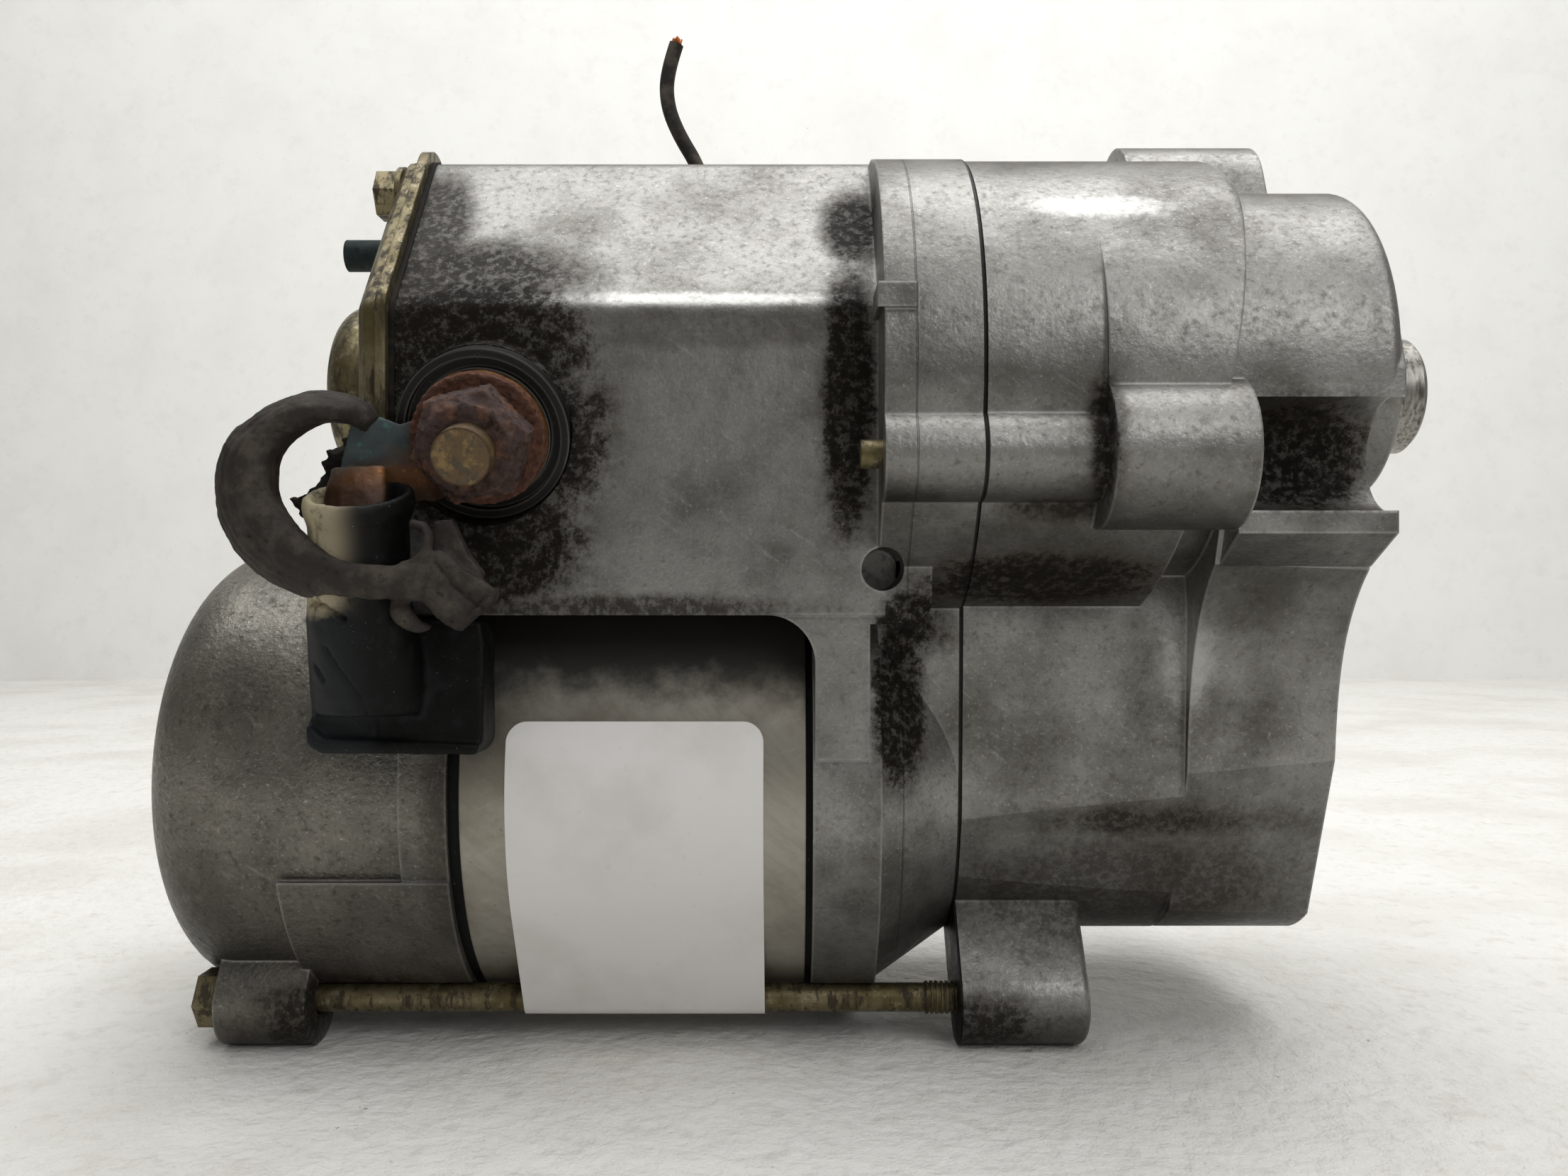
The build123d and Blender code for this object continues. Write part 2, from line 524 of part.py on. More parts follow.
with BuildPart() as brushes:
    for angle in POLE_ANGLES:
        radians = math.radians(angle)
        box_plane = Plane(origin=(HOLDER_REAR + 2.2, *MOTOR), x_dir=(0, math.cos(radians), math.sin(radians)),
                          z_dir=(1, 0, 0))
        with BuildSketch(box_plane) as block_section:
            with Locations((19.2, 0)):
                Rectangle(8.4, 6.8)
            Circle(COMMUTATOR_RADIUS + 0.08, mode=Mode.SUBTRACT)
        extrude(block_section.sketch, amount=11.0)

with BuildPart() as brush_springs:
    for angle in POLE_ANGLES:
        radians = math.radians(angle)
        outward = Vector(0, math.cos(radians), math.sin(radians))
        for turn in range(4):
            centre = Vector(HOLDER_REAR + 7.7, *MOTOR) + outward * (24.0 + 1.5 * turn)
            with BuildSketch(Plane(origin=centre, x_dir=(1, 0, 0), z_dir=outward)) as loop:
                Circle(3.0)
                Circle(2.2, mode=Mode.SUBTRACT)
            extrude(loop.sketch, amount=0.8)
        spine = Vector(HOLDER_REAR + 7.7, *MOTOR) + outward * 23.6
        with BuildSketch(Plane(origin=spine, x_dir=(1, 0, 0), z_dir=outward)) as core:
            with Locations((2.6, 0)):
                Rectangle(0.7, 0.7)
        extrude(core.sketch, amount=5.9)

with BuildPart() as armature_bearing_rear:
    ring(-177.4, -170.4, 11.0, 4.0, MOTOR)

with BuildPart() as armature_bearing_front:
    ring(-78.6, -70.6, 13.0, SHAFT_RADIUS, MOTOR)

# --------------------------------------------------------------------- armature
with BuildPart() as armature_shaft:
    disc(-177.0, -169.0, 3.95, MOTOR)
    disc(-169.0, -79.0, 6.0, MOTOR)
    disc(-79.0, -65.0, SHAFT_RADIUS - 0.05, MOTOR)
    gear(-65.0, -49.5, ARMATURE_TEETH, MODULE, MOTOR, TOWARDS_PINION + math.pi / ARMATURE_TEETH)

SLOTS = 21
with BuildPart() as armature_core:
    ring(*CORE_SPAN, CORE_RADIUS, 6.0, MOTOR)
    with BuildSketch(Plane.YZ.offset(CORE_SPAN[0])) as slots:
        with Locations(MOTOR):
            with PolarLocations(CORE_RADIUS - 2.0, SLOTS):
                Rectangle(6.0, 1.8)
    extrude(slots.sketch, amount=CORE_SPAN[1] - CORE_SPAN[0], mode=Mode.SUBTRACT)

with BuildPart() as armature_windings:
    ring(CORE_SPAN[0] - 7.0, CORE_SPAN[0], 24.5, 6.0, MOTOR)
    ring(CORE_SPAN[1], CORE_SPAN[1] + 7.0, 24.5, 6.0, MOTOR)

with BuildPart() as commutator:
    ring(-151.0, CORE_SPAN[0] - 7.0, COMMUTATOR_RADIUS, 6.0, MOTOR)
    with BuildSketch(Plane.YZ.offset(-151.0)) as gaps:
        with Locations(MOTOR):
            with PolarLocations(COMMUTATOR_RADIUS, SLOTS):
                Rectangle(2.0, 0.6)
    extrude(gaps.sketch, amount=14.0, mode=Mode.SUBTRACT)

# ------------------------------------------------------------------------ idler
IDLER_ROLLER = 1.95
IDLER_ROLLER_RING = 7.0
with BuildPart() as idler_gear:
    gear(*GEAR_SPAN, IDLER_TEETH, MODULE, IDLER, TOWARDS_PINION + math.pi / IDLER_TEETH)
    disc(GEAR_SPAN[0] - 1, GEAR_SPAN[1] + 1, 9.0, IDLER, mode=Mode.SUBTRACT)

with BuildPart() as idler_rollers:
    with BuildSketch(Plane.YZ.offset(GEAR_SPAN[0] + 0.5)) as rollers:
        with Locations(IDLER):
            with PolarLocations(IDLER_ROLLER_RING, 8):
                Circle(IDLER_ROLLER)
    extrude(rollers.sketch, amount=11.0)

with BuildPart() as idler_pin:
    disc(-72.0, -40.0, 4.98, IDLER)

# ----------------------------------------------------------------------- clutch
OUTER_RACE = CLUTCH_ROLLER_RING + CLUTCH_ROLLER + 0.05
with BuildPart() as clutch_gear:
    gear(*GEAR_SPAN, CLUTCH_TEETH, MODULE, PINION, TOWARDS_MOTOR)
    disc(GEAR_SPAN[1], -40.0, 24.0)
    disc(GEAR_SPAN[0] - 1, -39.0, INNER_RADIUS + 0.06, mode=Mode.SUBTRACT)
    disc(GEAR_SPAN[0] + 3.0, -39.0, OUTER_RACE, mode=Mode.SUBTRACT)

with BuildPart() as clutch_rollers:
    with BuildSketch(Plane.YZ.offset(-58.5)) as rollers:
        with PolarLocations(CLUTCH_ROLLER_RING, 5):
            Circle(CLUTCH_ROLLER)
    extrude(rollers.sketch, amount=17.0)

with BuildPart() as clutch_cover:
    ring(-40.0, -38.6, 23.6, INNER_RADIUS + 0.4)

SPLINE_WIDTH = 3.0
with BuildPart() as clutch_inner:
    disc(-73.4, -65.6, 7.5)
    disc(-65.6, -22.2, INNER_RADIUS)
    disc(-74.0, -60.0, 4.5, mode=Mode.SUBTRACT)
    disc(-60.5, -31.0, 7.5, mode=Mode.SUBTRACT)
    disc(-31.0, -21.0, OUTPUT_SHAFT + 0.06, mode=Mode.SUBTRACT)
    with BuildSketch(Plane.YZ.offset(-60.5)) as slots:
        with PolarLocations(7.5, 4):
            Rectangle(3.6, SPLINE_WIDTH + 0.7)
    extrude(slots.sketch, amount=29.5, mode=Mode.SUBTRACT)

with BuildPart() as clutch_bearing_rear:
    ring(-73.4, GEAR_WALL + 0.4, 14.0, 7.55)

with BuildPart() as clutch_bearing_front:
    ring(-31.2, -22.2, 21.0, INNER_RADIUS + 0.05)

# ----------------------------------------------------------------- output shaft
with BuildPart() as pinion_shaft:
    disc(-58.4, -48.0, 7.1)
    with BuildSketch(Plane.YZ.offset(-58.4)) as keys:
        with PolarLocations(7.1, 4):
            Rectangle(2.8, SPLINE_WIDTH)
    extrude(keys.sketch, amount=10.4)
    disc(-48.0, 15.0, OUTPUT_SHAFT)
    disc(-59.0, -57.0, 3.4, mode=Mode.SUBTRACT)

with BuildPart() as pinion:
    gear(-6.3, 7.7, PINION_TEETH, PINION_MODULE, PINION, math.pi / 2, addendum=1.0)
    disc(-7.0, 8.0, OUTPUT_SHAFT, mode=Mode.SUBTRACT)

with BuildPart() as stop_collar:
    ring(7.7, 15.2, 9.2, OUTPUT_SHAFT)
    disc(15.0, 16.6, 9.2)
    collar_rim = stop_collar.edges().filter_by(GeomType.CIRCLE).sort_by(Axis.X)[-1]
    chamfer(collar_rim, length=0.7)

with BuildPart() as steel_ball:
    with Locations((-60.4, 0, 0)):
        Sphere(3.3)

pinion_spring_coil = coil_spring(-48.0, -31.0, 6.55, 0.55, 6)
with BuildPart() as pinion_return_spring:
    add(pinion_spring_coil)

# --------------------------------------------------------------------- solenoid
COIL_SPAN = (-118.0, -78.0)
PLUNGER_RADIUS = 12.9
PLUNGER_FRONT = -102.4
CORE_STOP = -90.0

with BuildPart() as solenoid_bobbin:
    ring(*COIL_SPAN, 14.3, 13.3)
    ring(COIL_SPAN[0], COIL_SPAN[0] + 1.5, SOLENOID_BORE - 0.3, 14.3)
    ring(COIL_SPAN[1] - 1.5, COIL_SPAN[1], SOLENOID_BORE - 0.3, 14.3)

with BuildPart() as pull_in_winding:
    ring(COIL_SPAN[0] + 1.6, COIL_SPAN[1] - 1.6, 18.0, 14.35)

with BuildPart() as hold_in_winding:
    ring(COIL_SPAN[0] + 1.6, COIL_SPAN[1] - 1.6, SOLENOID_BORE - 0.6, 18.05)

with BuildPart() as solenoid_end_plate:
    ring(COIL_SPAN[0] - 2.0, COIL_SPAN[0], SOLENOID_BORE, 13.4)

with BuildPart() as fixed_core:
    disc(COIL_SPAN[1], COIL_SPAN[1] + 2.0, SOLENOID_BORE)
    disc(CORE_STOP, COIL_SPAN[1], 13.25)
    disc(CORE_STOP - 1, COIL_SPAN[1] + 3, 4.3, mode=Mode.SUBTRACT)
    disc(CORE_STOP - 1, CORE_STOP + 6.0, 6.6, mode=Mode.SUBTRACT)

with BuildPart() as plunger:
    disc(COIL_SPAN[0], PLUNGER_FRONT, PLUNGER_RADIUS)
    disc(PLUNGER_FRONT, -90.0, 3.5)
    disc(-90.0, -63.75, 3.2)
    ring(PLUNGER_FRONT - 4.0, PLUNGER_FRONT, 6.6, 3.5, mode=Mode.SUBTRACT)

with BuildPart() as plunger_stem:
    disc(-139.0, COIL_SPAN[0], 3.0)
    ring(-135.7, -133.9, 5.0, 3.0)

with BuildPart() as moving_contact:
    ring(-137.7, -135.7, 13.6, 3.0)

plunger_spring_coil = coil_spring(PLUNGER_FRONT - 4.0, CORE_STOP + 6.0, 5.1, 0.6, 7)
with BuildPart() as plunger_return_spring:
    add(plunger_spring_coil)


# -------------------------------------------------------------------- terminals
def stud_plane(degrees, height):
    """Plane square to a terminal stud, at a distance from the solenoid axis."""
    direction = Vector(0, math.cos(math.radians(degrees)), math.sin(math.radians(degrees)))
    return Plane(origin=Vector(STUD_X, 0, 0) + direction * height, x_dir=(1, 0, 0), z_dir=direction)


def stud_disc(degrees, low, high, radius, mode=Mode.ADD):
    """Cylinder around a terminal stud."""
    with BuildSketch(stud_plane(degrees, low)) as section:
        Circle(radius)
    extrude(section.sketch, amount=high - low, mode=mode)


def terminal(degrees, stud_end):
    """Stud, insulator and nut of one terminal, as three parts."""
    with BuildPart() as stud:
        stud_disc(degrees, 18.5, stud_end, STUD_SHANK)
        stud_disc(degrees, SPOT_FACE + 12.1, stud_end, STUD_RADIUS)
        with BuildSketch(stud_plane(degrees, 16.0)) as head:
            Rectangle(6.4, 10.0)
        extrude(head.sketch, amount=2.6)
    with BuildPart() as insulator:
        stud_disc(degrees, 18.6, SPOT_FACE, 5.95)
        stud_disc(degrees, SPOT_FACE, SPOT_FACE + 2.5, CUP_RADIUS)
        stud_disc(degrees, SPOT_FACE + 1.1, SPOT_FACE + 3.0, CUP_RADIUS - 1.3, mode=Mode.SUBTRACT)
        stud_disc(degrees, SPOT_FACE + 0.5, SPOT_FACE + 2.5, 9.6)
        stud_disc(degrees, 18.0, SPOT_FACE + 3.0, STUD_SHANK + 0.02, mode=Mode.SUBTRACT)
    with BuildPart() as nut:
        stud_disc(degrees, SPOT_FACE + 4.0, SPOT_FACE + 5.6, 9.4)
        with BuildSketch(stud_plane(degrees, SPOT_FACE + 5.6)) as flats:
            RegularPolygon(NUT_ACROSS_FLATS / 2, 6, major_radius=False, rotation=12.0)
        extrude(flats.sketch, amount=6.5)
        top = SPOT_FACE + 12.1
        with BuildSketch(stud_plane(degrees, top - 1.6)) as crown:
            Circle(NUT_ACROSS_FLATS)
            Circle(NUT_ACROSS_FLATS / 2 + 0.1, mode=Mode.SUBTRACT)
        extrude(crown.sketch, amount=2.0, taper=-35, mode=Mode.SUBTRACT)
        stud_disc(degrees, SPOT_FACE + 3.0, top + 1.0, STUD_SHANK + 0.02, mode=Mode.SUBTRACT)
    return stud, insulator, nut


MOTOR_STUD_ANGLE = 200.0
BATTERY_STUD_ANGLE = -10.0
motor_terminal_bolt, motor_terminal_insulator, motor_terminal_nut = terminal(MOTOR_STUD_ANGLE, 40.4)
battery_terminal_bolt, battery_terminal_insulator, battery_terminal_nut = terminal(BATTERY_STUD_ANGLE, 49.0)

with BuildPart() as fixed_contacts:
    for degrees in (MOTOR_STUD_ANGLE, BATTERY_STUD_ANGLE):
        with BuildSketch(stud_plane(degrees, 8.4)) as bar:
            with Locations((-121.9 - STUD_X, 0)):
                Rectangle(3.0, 9.0)
        extrude(bar.sketch, amount=10.0)

# ------------------------------------------------- motor lead, boot and torn cap
LEAD_RADIUS = 3.8
LUG_THICKNESS = 1.5
CABLE_ROUTE = [(-138.6, -31.2, -9.0), (-142.4, -33.6, -13.2), (-143.0, -34.0, -20.0), (-142.8, -33.7, -32.0),
               (-142.8, -31.0, -41.0), (-142.8, -23.0, -46.0)]
with BuildPart() as motor_lead:
    stud_disc(MOTOR_STUD_ANGLE, SPOT_FACE + 2.5, SPOT_FACE + 4.0, 9.4)
    with BuildSketch(stud_plane(MOTOR_STUD_ANGLE, SPOT_FACE + 2.5)) as strap:
        with Locations((-7.0, 1.8)):
            Rectangle(12.0, 11.5)
    extrude(strap.sketch, amount=LUG_THICKNESS)
    with BuildSketch(Plane(origin=CABLE_ROUTE[0], x_dir=(1, 0, 0),
                           z_dir=Vector(*CABLE_ROUTE[1]) - Vector(*CABLE_ROUTE[0]))) as cable_end:
        Circle(LEAD_RADIUS)
    with BuildLine() as cable_line:
        FilletPolyline(*CABLE_ROUTE, radius=4.0)
    sweep(cable_end.sketch, path=cable_line.line)
    stud_disc(MOTOR_STUD_ANGLE, SPOT_FACE, SPOT_FACE + 6.0, STUD_RADIUS + 0.02, mode=Mode.SUBTRACT)

BOOT_RADIUS = 7.0
BOOT_TOP = (-142.8, -33.9, -18.5)
BOOT_FOOT = (-142.8, -33.5, -44.0)
boot_axis = Vector(*BOOT_FOOT) - Vector(*BOOT_TOP)
with BuildPart() as lead_boot:
    with BuildSketch(Plane.YZ.offset(PAD_SPAN[0] + 0.2)) as pad:
        with Locations((-20.0, (NOTCH_BOTTOM + NOTCH_TOP) / 2)):
            Rectangle(24.0, NOTCH_TOP - NOTCH_BOTTOM - 0.4)
        with Locations(MOTOR):
            Circle(YOKE_RADIUS + 0.5, mode=Mode.SUBTRACT)
    extrude(pad.sketch, amount=PAD_SPAN[1] - PAD_SPAN[0] - 0.2)
    with BuildSketch(Plane.YZ.offset(PAD_SPAN[0] + 0.2)) as grommet:
        with Locations((-10.0, (NOTCH_BOTTOM + NOTCH_TOP) / 2)):
            Rectangle(23.0, NOTCH_TOP - NOTCH_BOTTOM - 0.4)
        with Locations(MOTOR):
            Circle(BORE_RADIUS - 2.2, mode=Mode.SUBTRACT)
    extrude(grommet.sketch, amount=END_FRAME_FRONT - PAD_SPAN[0] - 0.4)
    with BuildSketch(Plane(origin=BOOT_TOP, x_dir=(1, 0, 0), z_dir=boot_axis)) as tube:
        Circle(BOOT_RADIUS)
    extrude(tube.sketch, amount=boot_axis.length)
    with BuildSketch(Plane(origin=BOOT_TOP, x_dir=(1, 0, 0), z_dir=boot_axis)) as mouth:
        Circle(BOOT_RADIUS - 1.6)
    extrude(mouth.sketch, amount=6.0, mode=Mode.SUBTRACT)

CAP_CENTRE = Vector(-149.8, -34.6, -17.7)
CAP_AXIS = Vector(0.25, -1.0, -0.1)
CAP_OUTER = 13.8
CAP_WIDTH = 10.0
cap_plane = Plane(origin=CAP_CENTRE - CAP_AXIS.normalized() * 4.0, x_dir=(1, 0, 0), z_dir=CAP_AXIS)
with BuildPart() as terminal_cap:
    with BuildSketch(cap_plane) as band:
        Circle(CAP_OUTER)
        Circle(CAP_OUTER - 3.2, mode=Mode.SUBTRACT)
    extrude(band.sketch, amount=CAP_WIDTH)
    with BuildSketch(Plane.XZ.offset(36.4)) as tail:
        with Locations((-135.5, -30.4)):
            Rectangle(14.0, 4.4)
        with Locations((-127.6, -29.0)):
            Rectangle(8.0, 12.0, rotation=20.0)
    extrude(tail.sketch, amount=3.2)

# --------------------------------------------------------------- trigger circuit
TRIGGER_CENTRE = (17.4, 27.6)
TRIGGER_SLEEVE = 2.75
WIRE_RADIUS = 1.35
WIRE_ROUTE = [(-128.8, 20.4, 26.4), (-120.0, 23.0, 25.6), (-110.6, 25.8, 26.0), (-102.4, 28.4, 30.2),
              (-98.0, 30.2, 38.6), (-99.4, 30.9, 47.2), (-103.8, 30.9, 54.4), (-105.8, 30.7, 59.9),
              (-105.7, 30.4, 65.5), (-103.9, 30.0, 70.6)]
with BuildPart() as trigger_boot:
    block((-138.9, 14.6, 20.6), (WIRE_ROUTE[0][0], 24.4, 31.2))
    disc(-160.8, -138.0, TRIGGER_SLEEVE, TRIGGER_CENTRE)
    disc(-161.5, -152.0, TRIGGER_SLEEVE - 1.1, TRIGGER_CENTRE, mode=Mode.SUBTRACT)
    extrude(house_section(-141.0), amount=14.0, mode=Mode.SUBTRACT)


def corner_radii(route):
    """Arc radius at each corner: 0.45 of the shorter run over the tangent of half the turn."""
    points = [Vector(*point) for point in route]
    radii = []
    for before, corner, after in zip(points, points[1:], points[2:]):
        half_turn = math.radians((corner - before).get_angle(after - corner)) / 2
        shorter = min((corner - before).length, (after - corner).length)
        radii.append(0.45 * shorter / math.tan(half_turn))
    return radii


wire_radii = corner_radii(WIRE_ROUTE)
with BuildPart() as trigger_wire:
    with BuildLine() as wire_line:
        FilletPolyline(*WIRE_ROUTE, radius=wire_radii)
    with BuildSketch(Plane(origin=wire_line.line @ 0, z_dir=wire_line.line % 0)) as wire_section:
        Circle(WIRE_RADIUS)
    sweep(wire_section.sketch, path=wire_line.line)
print("trigger wire radii", [round(radius, 1) for radius in wire_radii])
wire_length = sum(edge.length for edge in wire_line.edges())
wire_section_area = math.pi * WIRE_RADIUS ** 2
print("trigger wire length", round(wire_length, 1))
print("volume over section times length", round(trigger_wire.part.volume / wire_section_area / wire_length, 4))

# ------------------------------------------------------------------------ label
LABEL_THICKNESS = 0.25
LABEL_CORNER = 3.0
LABEL_SPAN = (-124.3, -86.8)
label_radius = YOKE_RADIUS + 0.05 + LABEL_THICKNESS / 2
bolt_wrap = BOLT_SHANK + 0.05 + LABEL_THICKNESS / 2
label_top = math.radians(163.2)
bolt_direction = math.atan2(NEAR_BOLT[1] - MOTOR[1], NEAR_BOLT[0] - MOTOR[0]) + 2 * math.pi
leave_yoke = bolt_direction - math.acos((label_radius - bolt_wrap) / BOLT_CIRCLE)


def around(centre, radius, angle):
    """Point on a circle as (y, z)."""
    return (centre[0] + radius * math.cos(angle), centre[1] + radius * math.sin(angle))


under_bolt = 1.5 * math.pi
with BuildPart() as label:
    with BuildSketch(Plane.YZ.offset(LABEL_SPAN[0])) as paper:
        with BuildLine():
            ThreePointArc(around(MOTOR, label_radius, label_top),
                          around(MOTOR, label_radius, (label_top + leave_yoke) / 2),
                          around(MOTOR, label_radius, leave_yoke))
            Line(around(MOTOR, label_radius, leave_yoke), around(NEAR_BOLT, bolt_wrap, leave_yoke))
            ThreePointArc(around(NEAR_BOLT, bolt_wrap, leave_yoke),
                          around(NEAR_BOLT, bolt_wrap, (leave_yoke + under_bolt) / 2),
                          around(NEAR_BOLT, bolt_wrap, under_bolt))
            Line(around(NEAR_BOLT, bolt_wrap, under_bolt),
                 (NEAR_BOLT[0] + 5.0, NEAR_BOLT[1] - bolt_wrap))
        trace(line_width=LABEL_THICKNESS)
    label_width = LABEL_SPAN[1] - LABEL_SPAN[0]
    extrude(paper.sketch, amount=label_width)
    top_edge = label.part.bounding_box().max.Z
    with BuildSketch(Plane.XZ) as cut:
        with Locations(((LABEL_SPAN[0] + LABEL_SPAN[1]) / 2, top_edge - label_width)):
            RectangleRounded(label_width, 2 * label_width, LABEL_CORNER)
    extrude(cut.sketch, amount=2 * label_width, mode=Mode.INTERSECT)

# ----------------------------------------------------------------------- export
NODES = {
    "drive_housing": drive_housing,
    "switch_housing": switch_housing,
    "yoke": yoke,
    "end_frame": end_frame,
    "yoke_seal_rear": yoke_seal_rear,
    "yoke_seal_front": yoke_seal_front,
    "switch_cover": switch_cover,
    "cover_gasket": cover_gasket,
    "cover_screws": cover_screws,
    "housing_screws": housing_screws,
    "through_bolts": through_bolts,
    "pole_shoes": pole_shoes,
    "field_coils": field_coils,
    "brush_holder": brush_holder,
    "brushes": brushes,
    "brush_springs": brush_springs,
    "armature_bearing_rear": armature_bearing_rear,
    "armature_bearing_front": armature_bearing_front,
    "armature_shaft": armature_shaft,
    "armature_core": armature_core,
    "armature_windings": armature_windings,
    "commutator": commutator,
    "idler_gear": idler_gear,
    "idler_rollers": idler_rollers,
    "idler_pin": idler_pin,
    "clutch_gear": clutch_gear,
    "clutch_rollers": clutch_rollers,
    "clutch_cover": clutch_cover,
    "clutch_inner": clutch_inner,
    "clutch_bearing_rear": clutch_bearing_rear,
    "clutch_bearing_front": clutch_bearing_front,
    "pinion_shaft": pinion_shaft,
    "pinion": pinion,
    "stop_collar": stop_collar,
    "steel_ball": steel_ball,
    "pinion_return_spring": pinion_return_spring,
    "solenoid_bobbin": solenoid_bobbin,
    "pull_in_winding": pull_in_winding,
    "hold_in_winding": hold_in_winding,
    "solenoid_end_plate": solenoid_end_plate,
    "fixed_core": fixed_core,
    "plunger": plunger,
    "plunger_stem": plunger_stem,
    "moving_contact": moving_contact,
    "plunger_return_spring": plunger_return_spring,
    "motor_terminal_bolt": motor_terminal_bolt,
    "motor_terminal_insulator": motor_terminal_insulator,
    "motor_terminal_nut": motor_terminal_nut,
    "battery_terminal_bolt": battery_terminal_bolt,
    "battery_terminal_insulator": battery_terminal_insulator,
    "battery_terminal_nut": battery_terminal_nut,
    "fixed_contacts": fixed_contacts,
    "motor_lead": motor_lead,
    "lead_boot": lead_boot,
    "terminal_cap": terminal_cap,
    "trigger_boot": trigger_boot,
    "trigger_wire": trigger_wire,
    "label": label,
}
for node_name, piece in NODES.items():
    piece.part.label = node_name
    export_step(piece.part, f"parts/{node_name}.step")
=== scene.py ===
"""Looks of a gear-reduction starter motor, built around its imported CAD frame.

Row frame, metres: the origin is where the pinion axis meets the mounting face, +X points out of
the drive end, +Y away from the camera and +Z up. Positions and sizes below are in millimetres,
and mm() turns them into metres.
"""

import json
import math

import bpy
import numpy as np
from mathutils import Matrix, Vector, noise


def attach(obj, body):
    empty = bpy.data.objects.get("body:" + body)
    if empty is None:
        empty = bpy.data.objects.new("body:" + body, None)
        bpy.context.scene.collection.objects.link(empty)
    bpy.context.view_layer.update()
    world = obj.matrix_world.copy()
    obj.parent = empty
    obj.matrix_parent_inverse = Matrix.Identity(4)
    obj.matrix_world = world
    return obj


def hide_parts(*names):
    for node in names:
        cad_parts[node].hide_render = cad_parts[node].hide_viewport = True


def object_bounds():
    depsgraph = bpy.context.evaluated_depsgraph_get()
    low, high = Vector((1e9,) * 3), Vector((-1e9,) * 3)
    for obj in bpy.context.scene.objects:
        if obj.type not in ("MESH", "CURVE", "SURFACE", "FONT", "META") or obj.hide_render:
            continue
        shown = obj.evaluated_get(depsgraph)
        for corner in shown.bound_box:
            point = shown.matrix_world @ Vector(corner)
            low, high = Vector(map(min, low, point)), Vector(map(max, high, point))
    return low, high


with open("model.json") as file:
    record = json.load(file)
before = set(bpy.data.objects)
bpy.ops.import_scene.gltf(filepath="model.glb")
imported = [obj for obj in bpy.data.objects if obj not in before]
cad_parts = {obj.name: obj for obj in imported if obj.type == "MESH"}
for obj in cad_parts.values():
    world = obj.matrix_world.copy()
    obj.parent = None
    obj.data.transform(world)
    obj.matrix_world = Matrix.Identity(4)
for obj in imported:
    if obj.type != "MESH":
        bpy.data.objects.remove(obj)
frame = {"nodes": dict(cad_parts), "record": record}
cad_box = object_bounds()
scene = bpy.context.scene

MM = 0.001


def mm(*values):
    """A point or size in millimetres, as a vector in metres."""
    return Vector(values) * MM


# ------------------------------------------------------------- driving dimensions
STUD_X = -126.6
STUD_TILT = math.radians(20.0)  # the near stud leans below horizontal
SEAM_X = -56.8
SCRIBED_X = SEAM_X - 9.2  # a fine line turned round the flange

stud_out = Vector((0.0, -math.cos(STUD_TILT), -math.sin(STUD_TILT)))


def on_stud(radius):
    """The point on the near stud's axis, in mm, that far from the pinion axis."""
    return Vector((STUD_X, 0.0, 0.0)) + stud_out * radius


# ------------------------------------------------------------------------- camera
CAMERA_AT = mm(-83.8, -202.0, -31.1)
camera_data = bpy.data.cameras.new("camera")
camera_data.lens = 28.48
camera_data.sensor_width = 36.0
camera_data.clip_start = 0.005
camera = bpy.data.objects.new("camera", camera_data)
camera.location = CAMERA_AT
camera.rotation_euler = (math.radians(90.0), 0.0, 0.0)
scene.collection.objects.link(camera)
scene.camera = camera


# --------------------------------------------------------------- node materials
def tint(code):
    """Linear colour of an sRGB hex code."""
    channels = [int(code[i : i + 2], 16) / 255 for i in (1, 3, 5)]
    linear = [c / 12.92 if c <= 0.04045 else ((c + 0.055) / 1.055) ** 2.4 for c in channels]
    return (*linear, 1.0)


